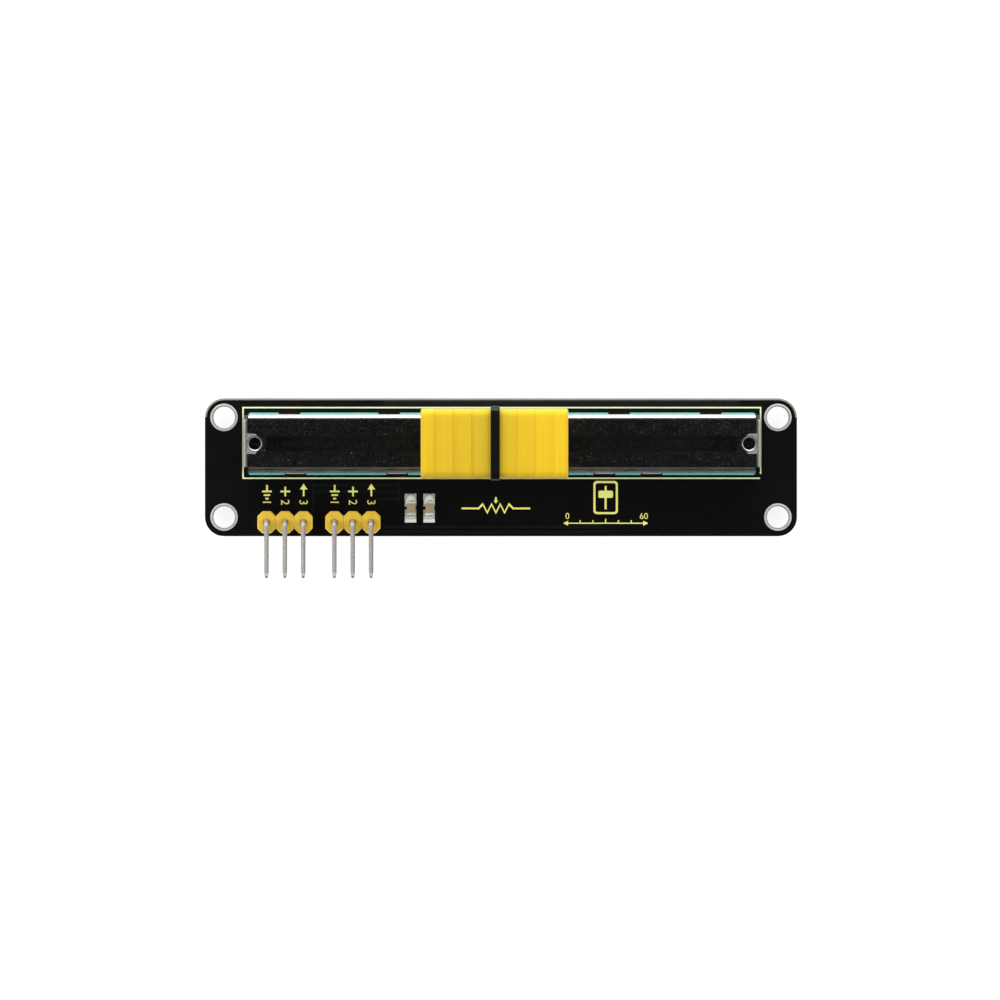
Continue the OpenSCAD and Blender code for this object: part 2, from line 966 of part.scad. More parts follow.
// Stations along the knob: even ones, and close ones at the steps and the rim
half_stations = concat(
  [for (k = [0:4]) k * first_step / 5],
  [for (s = [0:2]) for (q = [0:3]) first_step + s * step_pitch + q * step_run / 3],
  [for (s = [0:1]) for (q = [1:3]) first_step + s * step_pitch + step_run + q * (step_pitch - step_run) / 4],
  [for (q = [1:2]) first_step + 2 * step_pitch + (1 + q) * step_run],
  [for (a = [0:15:90]) crest_u + rim_w * sin(a)]
);
function sorted(v) =
  len(v) <= 1 ? v :
  let(
    pivot = v[floor(len(v) / 2)],
    low = [for (y = v) if (y < pivot - 0.001) y],
    high = [for (y = v) if (y > pivot + 0.001) y]
  )
  concat(sorted(low), [pivot], sorted(high));
right_stations = sorted(half_stations);
stations = concat(
  [for (k = [len(right_stations) - 1:-1:1]) -right_stations[k]],
  right_stations
);

// Loft through the sections of the knob
module knob_skin() {
  rows = [for (x = stations) knob_section(x)];
  n = len(rows[0]);
  m = len(rows);
  points = [for (row = rows) for (p = row) p];
  sides = [
    for (i = [0:m - 2])
      for (j = [0:n - 1])
        [i * n + j, i * n + (j + 1) % n, (i + 1) * n + (j + 1) % n, (i + 1) * n + j]
  ];
  first = [for (j = [n - 1:-1:0]) j];
  last = [for (j = [0:n - 1]) (m - 1) * n + j];
  polyhedron(points = points, faces = concat(sides, [first, last]), convexity = 6);
}

// Outline of the pointer bar across the knob, with its two side returns
module pointer_side() {
  top = floor_z + pointer_proud;
  r = edge_r;
  difference() {
    union() {
      translate([-pointer_l / 2, top - pointer_side_h])
        square([pointer_l, pointer_side_h - r]);
      translate([-pointer_l / 2 + r, top - pointer_side_h])
        square([pointer_l - 2 * r, pointer_side_h]);
      for (s = [-1, 1])
        translate([s * (pointer_l / 2 - r), top - r])
          circle(r);
    }
    translate([-pointer_l / 2 + pointer_side_t, top - pointer_side_h - 1])
      square([pointer_l - 2 * pointer_side_t, pointer_side_h + 1 - pointer_proud - pointer_sink]);
  }
}

// Knob: lofted skin with stepped scoop, hollow inside round a ribbed socket
module knob() {
  color(bright_yellow)
    translate([slide_x, pot_y, 0])
      difference() {
        knob_skin();
        knob_cavity();
        lever_blank();
        translate([pointer_x, 0, 0])
          along_x(pointer_w)
            pointer_side();
      }
}

// Space inside the knob, either side of the socket and its ribs
module knob_cavity() {
  inner_l = knob_l - 2 * knob_wall;
  inner_w = knob_w - 2 * knob_wall;
  difference() {
    translate([-inner_l / 2, -inner_w / 2, knob_z - 1])
      cube([inner_l, inner_w, cavity_top - knob_z + 1]);
    translate([-socket_l / 2, -socket_w / 2, knob_z + socket_lift])
      cube([socket_l, socket_w, knob_h]);
    for (s = [-1, 1])
      translate([s * socket_l / 4 - rib_t / 2, -knob_w / 2, knob_z + rib_lift])
        cube([rib_t, knob_w, knob_h]);
    translate([-knob_l / 2, -rib_t / 2, knob_z + rib_lift])
      cube([knob_l, rib_t, knob_h]);
  }
}

// Black bar let into the knob, standing a little proud of it
module pointer_bar() {
  color("#161616")
    translate([slide_x + pointer_x, pot_y, 0])
      along_x(pointer_w)
        pointer_side();
}

pcb();
mounting_ring(0);  // mounting_ring_1
mounting_ring(1);  // mounting_ring_2
mounting_ring(2);  // mounting_ring_3
mounting_ring(3);  // mounting_ring_4
silkscreen();
header_housing(0);  // header_housing_1
header_housing(1);  // header_housing_2
header_pin(0);  // header_pin_1
header_pin(1);  // header_pin_2
header_pin(2);  // header_pin_3
header_pin(3);  // header_pin_4
header_pin(4);  // header_pin_5
header_pin(5);  // header_pin_6
header_solder();
chip_body(0);  // chip_body_1
chip_body(1);  // chip_body_2
chip_ends(0);  // chip_ends_1
chip_ends(1);  // chip_ends_2
chip_solder(0);  // chip_solder_1
chip_solder(1);  // chip_solder_2
pot_case();
element_board();
carbon_track(0);  // carbon_track_1
carbon_track(1);  // carbon_track_2
collector_track(0);  // collector_track_1
collector_track(1);  // collector_track_2
terminal(0);  // terminal_1
terminal(1);  // terminal_2
terminal(2);  // terminal_3
terminal(3);  // terminal_4
terminal(4);  // terminal_5
terminal(5);  // terminal_6
terminal_solder();
carriage();
lever();
wiper(0);  // wiper_1
wiper(1);  // wiper_2
knob();
pointer_bar();
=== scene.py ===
"""Slide potentiometer on its breakout board: finishes, fine pieces, light and camera."""

import math

import bpy
import numpy as np
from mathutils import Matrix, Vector


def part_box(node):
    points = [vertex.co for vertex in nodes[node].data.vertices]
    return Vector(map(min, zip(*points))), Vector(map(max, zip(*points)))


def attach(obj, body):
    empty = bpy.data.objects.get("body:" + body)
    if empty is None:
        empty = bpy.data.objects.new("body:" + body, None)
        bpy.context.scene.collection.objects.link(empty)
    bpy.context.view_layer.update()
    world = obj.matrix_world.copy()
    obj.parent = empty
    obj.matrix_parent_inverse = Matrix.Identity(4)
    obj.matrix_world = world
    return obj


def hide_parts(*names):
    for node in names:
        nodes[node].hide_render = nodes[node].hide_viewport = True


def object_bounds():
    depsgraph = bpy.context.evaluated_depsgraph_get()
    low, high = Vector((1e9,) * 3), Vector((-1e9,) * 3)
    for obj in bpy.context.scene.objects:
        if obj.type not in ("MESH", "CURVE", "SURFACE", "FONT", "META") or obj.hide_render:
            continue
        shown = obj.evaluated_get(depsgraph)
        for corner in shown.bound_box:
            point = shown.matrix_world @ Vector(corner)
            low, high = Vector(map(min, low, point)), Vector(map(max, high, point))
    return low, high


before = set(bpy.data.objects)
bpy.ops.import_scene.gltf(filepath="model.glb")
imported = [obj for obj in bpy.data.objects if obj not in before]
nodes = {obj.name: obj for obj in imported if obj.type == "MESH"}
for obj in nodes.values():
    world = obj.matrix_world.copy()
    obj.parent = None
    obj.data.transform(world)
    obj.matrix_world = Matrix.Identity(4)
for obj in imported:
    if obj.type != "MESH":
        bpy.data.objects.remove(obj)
cad_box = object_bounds()
scene = bpy.context.scene
MM = 0.001


def mm_box(node):
    """Lowest and highest corner of a CAD node as two arrays in millimetres."""
    low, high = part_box(node)
    return np.array(low) / MM, np.array(high) / MM


# Sizes of this potentiometer in millimetres, read from its frame
board_t = mm_box("pcb")[1][2]
case_low, case_high = mm_box("pot_case")
knob_low, knob_high = mm_box("knob")
bar_low, bar_high = mm_box("pointer_bar")
ink_top = mm_box("silkscreen")[1][2]
case_mid = (case_low + case_high) / 2
case_top = case_high[2]
knob_mid = (knob_low + knob_high) / 2
pot_y = knob_mid[1]
SCREW_X = 34.1
HOLE_R = 1.5


# Camera: straight down on the board, as in the photograph
PHOTO_PX = 1000
PX_PER_MM = 7.22
ORIGIN_PX = (500.95, 467.25)
CAMERA_RISE = 1500.0


def add_camera():
    """Camera over the middle of the picture, its lens set so that the board has the photo's scale."""
    lens = bpy.data.cameras.new("camera")
    lens.sensor_width = 36.0
    lens.lens = lens.sensor_width * CAMERA_RISE * PX_PER_MM / PHOTO_PX
    lens.clip_end = 20.0
    eye = bpy.data.objects.new("camera", lens)
    x = (PHOTO_PX / 2 - ORIGIN_PX[0]) / PX_PER_MM
    y = (ORIGIN_PX[1] - PHOTO_PX / 2) / PX_PER_MM
    eye.location = (x * MM, y * MM, (board_t + CAMERA_RISE) * MM)
    scene.collection.objects.link(eye)
    scene.camera = eye


# Shader maths
class Wire:
    """One output of a finish; sums, products and powers of wires add their Math nodes."""

    def __init__(self, finish, socket):
        self.finish = finish
        self.socket = socket

    def maths(self, work, *values):
        """Math node of this wire's finish on the given values."""
        return self.finish.node("ShaderNodeMath", {"operation": work}, dict(enumerate(values)))

    def __add__(self, other):
        return self.maths("ADD", self, other)

    def __radd__(self, other):
        return self.maths("ADD", other, self)

    def __sub__(self, other):
        return self.maths("SUBTRACT", self, other)

    def __rsub__(self, other):
        return self.maths("SUBTRACT", other, self)

    def __mul__(self, other):
        return self.maths("MULTIPLY", self, other)

    def __rmul__(self, other):
        return self.maths("MULTIPLY", other, self)

    def __truediv__(self, other):
        return self.maths("DIVIDE", self, other)

    def __rtruediv__(self, other):
        return self.maths("DIVIDE", other, self)

    def __pow__(self, other):
        return self.maths("POWER", self, other)

    def __abs__(self):
        return self.maths("ABSOLUTE", self)

    def above(self, low, high):
        """Soft step: 0 under low, 1 over high, smooth between them."""
        values = {"Value": self, "From Min": low, "From Max": high}
        return self.finish.node("ShaderNodeMapRange", {"interpolation_type": "SMOOTHSTEP"}, values)

    def within(self, middle, half, soft):
        """Soft band: 1 where the value is nearer than half to middle."""
        return 1 - abs(self - middle).above(half - soft, half + soft)


class Finish:
    """Node tree of one finish, round its Principled shader."""

    def __init__(self, name, centre=(0, 0, 0)):
        self.material = bpy.data.materials.new(name)
        self.material.use_nodes = True
        self.tree = self.material.node_tree
        self.tree.nodes.clear()
        self.shader = self.tree.nodes.new("ShaderNodeBsdfPrincipled")
        output = self.tree.nodes.new("ShaderNodeOutputMaterial")
        self.tree.links.new(self.shader.outputs[0], output.inputs["Surface"])
        where = self.node("ShaderNodeTexCoord", out="Object")
        shift = tuple(-c for c in centre)
        values = {"Vector": where, "Location": shift, "Scale": (1 / MM, 1 / MM, 1 / MM)}
        self.place = self.node("ShaderNodeMapping", {}, values)
        axes = self.place_axes(self.place)
        self.x, self.y, self.z = axes

    def node(self, kind, settings=None, values=None, out=0):
        """Adds a node: its settings first, then the values or wires of its sockets."""
        node = self.tree.nodes.new(kind)
        for key, value in (settings or {}).items():
            setattr(node, key, value)
        for key, value in (values or {}).items():
            self.feed(node.inputs[key], value)
        return Wire(self, node.outputs[out])

    def feed(self, socket, value):
        """Links a wire to a socket, or sets a plain value on it."""
        if isinstance(value, Wire):
            self.tree.links.new(value.socket, socket)
        elif socket.type == "RGBA":
            socket.default_value = (*value, 1)
        else:
            socket.default_value = value

    def place_axes(self, vector):
        """The three parts of a vector as wires."""
        split = self.tree.nodes.new("ShaderNodeSeparateXYZ")
        self.feed(split.inputs[0], vector)
        return [Wire(self, output) for output in split.outputs]

    def stretched(self, x, y, z):
        """Place on the piece with each axis multiplied by its own number."""
        values = {0: self.place, 1: (x, y, z)}
        return self.node("ShaderNodeVectorMath", {"operation": "MULTIPLY"}, values)

    def noise(self, per_mm, detail=3.0, rough=0.55, at=None):
        """Cloudy noise from 0 to 1, with the given number of clouds to a millimetre."""
        values = {
            "Vector": at or self.place,
            "Scale": per_mm,
            "Detail": detail,
            "Roughness": rough,
        }
        return self.node("ShaderNodeTexNoise", {}, values)

    def cells(self, per_mm, at=None):
        """Distance to the nearest of many scattered points."""
        values = {"Vector": at or self.place, "Scale": per_mm}
        return self.node("ShaderNodeTexVoronoi", {}, values)

    def blend(self, mask, first, second, way="MIX"):
        """Colour that goes from first to second as the mask goes from 0 to 1."""
        mixer = self.tree.nodes.new("ShaderNodeMix")
        mixer.data_type = "RGBA"
        mixer.blend_type = way
        self.feed(mixer.inputs["Factor"], mask)
        self.feed(mixer.inputs[6], first)
        self.feed(mixer.inputs[7], second)
        return Wire(self, mixer.outputs[2])

    def facing_up(self):
        """How much the surface looks up or down: 1 on flats, 0 on walls."""
        normal = self.node("ShaderNodeNewGeometry", out="True Normal")
        return abs(self.place_axes(normal)[2])

    def bump(self, height, depth_mm, strength=1.0):
        """Feeds a Bump node, depth in millimetres for a height of 1, to the shader."""
        values = {"Height": height, "Distance": depth_mm * MM, "Strength": strength}
        normal = self.node("ShaderNodeBump", {}, values)
        self.feed(self.shader.inputs["Normal"], normal)

    def set(self, **values):
        """Sockets of the shader by name, with low dashes for spaces."""
        for key, value in values.items():
            self.feed(self.shader.inputs[key.replace("_", " ")], value)
        return self


# Surfaces worked out on grids
def new_piece(name, grids, finish, body, stands_for=(), sharp=35):
    """One object from closed grids, smooth but for edges sharper than the given angle."""
    points = []
    faces = []
    start = 0
    for grid, quads, caps in grids:
        points.append(grid)
        faces.extend((quads + start).tolist())
        faces.extend([(np.array(cap) + start).tolist() for cap in caps])
        start += len(grid)
    mesh = bpy.data.meshes.new(name)
    mesh.from_pydata(np.concatenate(points) * MM, [], faces)
    mesh.validate()
    mesh.shade_smooth()
    mesh.set_sharp_from_angle(angle=math.radians(sharp))
    mesh.materials.append(finish.material)
    piece = bpy.data.objects.new(name, mesh)
    scene.collection.objects.link(piece)
    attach(piece, body)
    if stands_for:
        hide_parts(*stands_for)
    return piece


def tube(rows):
    """Rows of closed loops joined into a skin, its two ends closed.

    rows[i, j] is point j of loop i; each face joins (i, j), (i, j+1), (i+1, j+1), (i+1, j).
    """
    m, n, _ = rows.shape
    index = np.arange(m * n).reshape(m, n)
    after = np.roll(index, -1, axis=1)
    quads = np.stack([index[:-1], after[:-1], after[1:], index[1:]], axis=-1).reshape(-1, 4)
    caps = [index[0, ::-1].tolist(), index[-1].tolist()]
    return rows.reshape(-1, 3), quads, caps


def turned(profile, x, y, around=48):
    """Closed outline of radius and height turned round an upright axis at (x, y).

    Point (i, j) = (x + r_j cos a_i, y + r_j sin a_i, z_j), the outline running anticlockwise.
    """
    angle = np.linspace(0, 2 * np.pi, around, endpoint=False)
    r, z = np.array(profile).T
    rows = np.stack(
        [
            x + np.outer(np.cos(angle), r),
            y + np.outer(np.sin(angle), r),
            np.broadcast_to(z, (around, len(z))),
        ],
        axis=-1,
    )
    n = len(r)
    index = np.arange(around * n).reshape(around, n)
    round_on = np.roll(index, -1, axis=0)
    along = np.roll(index, -1, axis=1)
    both = np.roll(round_on, -1, axis=1)
    quads = np.stack([index, round_on, both, along], axis=-1).reshape(-1, 4)
    return rows.reshape(-1, 3), quads, []


def rounded_outline(half_x, half_y, radius, steps=5):
    """Anticlockwise rectangle whose corners are quarter circles, as an array of points."""
    turn = np.linspace(0, np.pi / 2, steps)
    quarters = []
    for k, (sx, sy) in enumerate(((1, 1), (-1, 1), (-1, -1), (1, -1))):
        angle = turn + k * np.pi / 2
        x = sx * (half_x - radius) + radius * np.cos(angle)
        y = sy * (half_y - radius) + radius * np.sin(angle)
        quarters.append(np.stack([x, y], axis=-1))
    return np.concatenate(quarters)


def block(low, high, radius, steps=4):
    """Box with every edge rounded: rounded outlines stacked, drawn in along quarter circles."""
    low = np.array(low, float)
    high = np.array(high, float)
    middle = (low + high) / 2
    half = (high - low) / 2
    turn = np.linspace(0, np.pi / 2, steps)
    inset = radius * (1 - np.concatenate([np.sin(turn), np.cos(turn)]))
    lower = low[2] + radius * (1 - np.cos(turn))
    upper = high[2] - radius * (1 - np.sin(turn))
    height = np.concatenate([lower, upper])
    rows = []
    for drawn, z in zip(inset, height):
        corner = max(radius - drawn, 0.02 * radius)
        flat = rounded_outline(half[0] - drawn, half[1] - drawn, corner, steps) + middle[:2]
        rows.append(np.column_stack([flat, np.full(len(flat), z)]))
    return tube(np.array(rows))


def carried(path, profile, size=None):
    """Profile carried along a path that lies in the Y-Z plane.

    Point (i, j) = path_i + size_i * (profile_j.x along X + profile_j.y along the path's normal).
    """
    path = np.array(path, float)
    way = np.gradient(path[:, 1:], axis=0)
    way /= np.linalg.norm(way, axis=1, keepdims=True)
    normal = np.column_stack([np.zeros(len(path)), way[:, 1], -way[:, 0]])
    size = np.ones(len(path)) if size is None else size
    aside = np.array([1.0, 0.0, 0.0])
    rows = (
        path[:, None, :]
        + size[:, None, None] * profile[None, :, :1] * aside
        + size[:, None, None] * profile[None, :, 1:] * normal[:, None, :]
    )
    return tube(rows)


def arc(centre_y, centre_z, radius, first, last, steps):
    """Points of a circular arc in the Y-Z plane, angles in degrees from +Y."""
    angle = np.radians(np.linspace(first, last, steps))
    return np.column_stack([centre_y + radius * np.cos(angle), centre_z + radius * np.sin(angle)])


# Knob
SCOOP_DEPTH = 2.3
STEP_H = 0.2
STEP_RUN = 0.24
STEP_FIRST = 3.0
STEP_PITCH = 2.55
EDGE_R = 0.9
RIM_W = 0.9
RIM_DROP = 0.6
CORNER_R = 0.2
DRAFT = 0.017
WALL = 1.3
CAVITY_TOP = 15.8


def ease(t):
    """Smooth step from 0 to 1: 3t squared less 2t cubed."""
    t = np.clip(t, 0, 1)
    return t * t * (3 - 2 * t)


def scoop_height(u):
    """Height of the scoop: floor, three eased grip steps, a parabola, and a round drop at the rim."""
    crest = (knob_high[0] - knob_low[0]) / 2 - RIM_W
    stair = sum(STEP_H * ease((u - STEP_FIRST - k * STEP_PITCH) / STEP_RUN) for k in range(3))
    dish = (SCOOP_DEPTH - 3 * STEP_H) * (np.minimum(u, crest) / crest) ** 2
    over = np.clip((u - crest) / RIM_W, 0, 1)
    rim = RIM_DROP * (1 - np.sqrt(1 - over**2))
    return knob_high[2] - SCOOP_DEPTH + stair + dish - rim


def knob_loops():
    """Closed loops across the knob at stations along it.

    Each loop goes up the drafted right side, round the long edge, over the scoop, down the left
    side and back through the hollow underneath, whose roof drops to the foot past its ends.
    """
    half_l = (knob_high[0] - knob_low[0]) / 2
    half_w = (knob_high[1] - knob_low[1]) / 2
    foot_z = knob_low[2]
    hollow = half_l - WALL
    crest = half_l - RIM_W
    rim = crest + RIM_W * np.sin(np.linspace(0, np.pi / 2, 10))
    steps = [STEP_FIRST + k * STEP_PITCH + np.linspace(0, STEP_RUN, 8) for k in range(3)]
    plain = np.linspace(0, crest, 60)
    u = np.unique(np.round(np.concatenate([plain, rim, *steps, [hollow - 0.002, hollow]]), 4))
    x = np.concatenate([-u[:0:-1], u])
    u = abs(x)
    top = scoop_height(u)
    over = np.clip(u - half_l + CORNER_R, 0, CORNER_R)
    foot = half_w - CORNER_R + np.sqrt(CORNER_R**2 - over**2)
    roof = np.where(u < hollow - 0.001, CAVITY_TOP, foot_z)
    shoulder = foot - DRAFT * (top - EDGE_R - foot_z)
    angle = np.linspace(0, np.pi / 2, 10)
    bend_y = shoulder[:, None] - EDGE_R + EDGE_R * np.cos(angle)
    bend_z = top[:, None] - EDGE_R + EDGE_R * np.sin(angle)
    lip = 0.12
    side_y = np.column_stack([foot - lip, foot - 0.3 * lip, foot, bend_y])
    side_z = np.column_stack([foot_z + 0 * u, foot_z + 0.3 * lip + 0 * u, foot_z + lip + 0 * u, bend_z])
    inner_y = np.full((len(u), 2), half_w - WALL)
    inner_z = np.column_stack([roof, foot_z + 0 * u])
    y = np.concatenate([side_y, -side_y[:, ::-1], -inner_y[:, ::-1], inner_y], axis=1)
    z = np.concatenate([side_z, side_z[:, ::-1], inner_z[:, ::-1], inner_z], axis=1)
    xs = np.broadcast_to(x[:, None], y.shape)
    middle = np.array([knob_mid[0], knob_mid[1], 0])
    return np.stack([xs, y, z], axis=-1) + middle


def add_knob(finish):
    """Knob skin, a loft of closed loops along the travel."""
    new_piece("knob_skin", [tube(knob_loops())], finish, "slider", ["knob"], 24)


def add_pointer(finish):
    """Bar let into the knob: a rounded strip bent down over both sides."""
    half_w = (bar_high[0] - bar_low[0]) / 2
    half_l = (bar_high[1] - bar_low[1]) / 2
    thick = 0.75
    corner = 0.14
    bend = EDGE_R - thick / 2
    top = bar_high[2] - thick / 2
    reach = half_l - thick / 2
    low = bar_low[2]
    left = np.column_stack([np.full(6, -reach), np.linspace(low, top - bend, 6)])
    over = arc(-reach + bend, top - bend, bend, 180, 90, 9)
    across = np.column_stack([np.linspace(-reach + bend, reach - bend, 12), np.full(12, top)])
    down = arc(reach - bend, top - bend, bend, 90, 0, 9)
    right = np.column_stack([np.full(6, reach), np.linspace(top - bend, low, 6)])
    line = np.concatenate([left, over[1:], across[1:], down[1:], right[1:]])
    path = np.column_stack([np.zeros(len(line)), line]) + [(bar_low[0] + bar_high[0]) / 2, pot_y, 0]
    strip = carried(path, rounded_outline(half_w, thick / 2, corner))
    new_piece("pointer_strip", [strip], finish, "slider", ["pointer_bar"])


# Headers
PIN_BEND_R = 0.4
PIN_CORNER_R = 0.075
TIP_L = 0.7
TIP_STATIONS = [0.5, 0.12, 0.0]
TIP_SIZES = [0.8, 0.54, 0.4]
FOOT_SIZES = [0.62, 0.8]


def add_pin(number, finish):
    """Square wire pin: leg, bend and arm, its corners rounded and both ends tapered."""
    low, high = mm_box(f"header_pin_{number}")
    wide = high[0] - low[0]
    middle_x = (low[0] + high[0]) / 2
    leg_y = high[1] - wide / 2
    arm_z = high[2] - wide / 2
    bend = PIN_BEND_R + wide / 2
    leg_z = np.concatenate([[low[2], low[2] + 0.12], np.linspace(low[2] + 0.3, arm_z - bend, 8)])
    leg = np.column_stack([np.full(len(leg_z), leg_y), leg_z])
    turn = arc(leg_y - bend, arm_z - bend, bend, 0, 90, 14)
    tip_y = low[1] + TIP_L * np.array(TIP_STATIONS)
    arm_y = np.concatenate([np.linspace(leg_y - bend, low[1] + TIP_L, 14), tip_y])
    arm = np.column_stack([arm_y, np.full(len(arm_y), arm_z)])
    line = np.concatenate([leg, turn[1:], arm[1:]])
    size = np.ones(len(line))
    size[:2] = FOOT_SIZES
    size[-3:] = TIP_SIZES
    path = np.column_stack([np.full(len(line), middle_x), line])
    wire = carried(path, rounded_outline(wide / 2, wide / 2, PIN_CORNER_R), size)
    name = f"header_pin_{number}"
    new_piece(f"pin_{number}", [wire], finish, "board", [name])


CELL_CUT = 0.7
CELL_BEVEL = 0.15
FUNNEL_HALF = 0.46
FUNNEL_CUT = 0.1


def cut_rectangle(half_x, half_y, cut, per_side=4):
    """Anticlockwise rectangle with its four corners cut off, each side split into short runs."""
    a, b, c = half_x, half_y, cut
    right = [(a, c - b), (a, b - c), (a - c, b), (c - a, b)]
    corners = np.array(right + [(-x, -y) for x, y in right])
    run = (np.roll(corners, -1, axis=0) - corners)[:, None]
    t = np.linspace(0.06, 0.94, per_side)[None, :, None]
    return (corners[:, None] + run * t).reshape(-1, 2)


def housing_cell(middle, half, low, high):
    """One cell of a housing: cut rectangles from its foot, over a worn rim and into the pin's funnel.

    Row i lies at height z_i, drawn in by inset_i, its corners cut off by cut_i.
    """
    soft = 0.41 * CELL_BEVEL
    outside = [
        (0.03, low, CELL_CUT),
        (0.0, low + 0.03, CELL_CUT),
        (0.0, high - CELL_BEVEL, CELL_CUT),
        (0.02, high - 0.75 * CELL_BEVEL, CELL_CUT - 0.1 * soft),
        (CELL_BEVEL - 0.02, high - 0.2 * CELL_BEVEL, CELL_CUT - soft),
        (CELL_BEVEL + 0.03, high, CELL_CUT - soft),
    ]
    inside = [(0.0, high), (0.12, high - 0.22), (0.16, high - 0.24)]
    rows = [(cut_rectangle(half[0] - inset, half[1] - inset, cut), z) for inset, z, cut in outside]
    rows += [(cut_rectangle(FUNNEL_HALF - inset, FUNNEL_HALF - inset, FUNNEL_CUT), z) for inset, z in inside]
    return tube(np.array([np.column_stack([flat + middle, np.full(len(flat), z)]) for flat, z in rows]))


def add_housing(number, finish):
    """Moulded block of three joined cells."""
    low, high = mm_box(f"header_housing_{number}")
    pitch = (high[0] - low[0]) / 3
    y = (low[1] + high[1]) / 2
    half = (pitch / 2, (high[1] - low[1]) / 2)
    places = [(low[0] + (k + 0.5) * pitch, y) for k in range(3)]
    cells = [housing_cell(place, half, low[2], high[2]) for place in places]
    name = f"header_housing_{number}"
    new_piece(f"pin_block_{number}", cells, finish, "board", [name], 30)


# Plated and soldered pieces
def add_ring(number, finish):
    """Hole lining with two flanges, their edges rounded, turned round the hole's axis."""
    low, high = mm_box(f"mounting_ring_{number}")
    x, y = (low[:2] + high[:2]) / 2
    outer = (high[0] - low[0]) / 2
    bore = HOLE_R
    back = HOLE_R + 0.12
    top = high[2]
    foot = low[2]
    soft = 0.05
    upper = [
        (back, board_t), (outer, board_t), (outer, top - soft), (outer - 0.3 * soft, top - 0.3 * soft),
        (outer - soft, top), (bore + 0.14, top), (bore + 0.05, top - 0.02), (bore, top - 0.12),
    ]
    lower = [
        (bore, foot + 0.12), (bore + 0.05, foot + 0.02), (bore + 0.14, foot), (outer - soft, foot),
        (outer - 0.3 * soft, foot + 0.3 * soft), (outer, foot + soft), (outer, 0), (back, 0),
    ]
    grid = turned(upper + lower, x, y, 96)
    name = f"mounting_ring_{number}"
    new_piece(f"hole_lining_{number}", [grid], finish, "board", [name])


def joint_grid(x, y, top, foot):
    """Solder joint: a filled hole, a pad, and a hollow-sided cone down to the wire.

    Radius at depth t from 0 to 1 is tip + (pad - tip) * (1 - t) to the power 2.2.
    """
    pad = 0.85
    tip = 0.4
    fill = 0.48
    t = np.linspace(0, 1, 12)
    cone_r = tip + (0.8 * pad - tip) * (1 - t) ** 2.2
    cone_z = -0.06 + (foot + 0.06) * t
    outline = [(0.001, top), (fill - 0.12, top), (fill - 0.04, top - 0.03), (fill, top - 0.1)]
    outline += [(fill, 0), (pad, 0)]
    outline += [(pad, -0.035), (pad - 0.03, -0.055)]
    outline += list(zip(cone_r, cone_z))
    outline += [(0.8 * tip, foot - 0.001), (0.001, foot)]
    grid, quads, _ = turned(outline[::-1], x, y, 40)
    return grid, quads, []


def add_joints(node, name, places, finish):
    """All joints of one row of wires as one piece."""
    low, _ = mm_box(node)
    grids = [joint_grid(x, y, board_t - 0.01, low[2]) for x, y in places]
    new_piece(name, grids, finish, "board", [node])


BLOCK_EDGE_R = 0.06
CAP_EDGE_R = 0.09
CAP_L = 0.35
PAD_GAP = 0.42
SWELL = 0.09
DOME_HIGH = 0.5
DOME_HALF = (0.82, 1.25)


def add_chip(number, ceramic, plating, solder):
    """Chip capacitor: ceramic block, two end caps, and a solder skin that climbs both ends."""
    body_low, body_high = mm_box(f"chip_body_{number}")
    ends_low, ends_high = mm_box(f"chip_ends_{number}")
    pad_low, pad_high = mm_box(f"chip_solder_{number}")
    node = f"chip_body_{number}"
    reach = np.array([0.0, 0.05, 0.0])
    drawn = np.array([0.015, 0.0, 0.0])
    lift = np.array([0.0, 0.0, 0.015])
    grid = block(body_low - reach + drawn, body_high + reach - drawn - lift, BLOCK_EDGE_R)
    new_piece(f"capacitor_block_{number}", [grid], ceramic, "board", [node])
    caps = []
    for low_y, high_y in ((ends_low[1], body_low[1]), (body_high[1], ends_high[1])):
        low = (ends_low[0], low_y, ends_low[2])
        high = (ends_high[0], high_y, ends_high[2])
        caps.append(block(low, high, CAP_EDGE_R, 5))
    name = f"chip_ends_{number}"
    new_piece(f"capacitor_ends_{number}", caps, plating, "board", [name])
    skins = [solder_skin(side, ends_low, ends_high, pad_low, pad_high) for side in (-1, 1)]
    name = f"chip_solder_{number}"
    new_piece(f"capacitor_solder_{number}", skins, solder, "board", [name], 50)


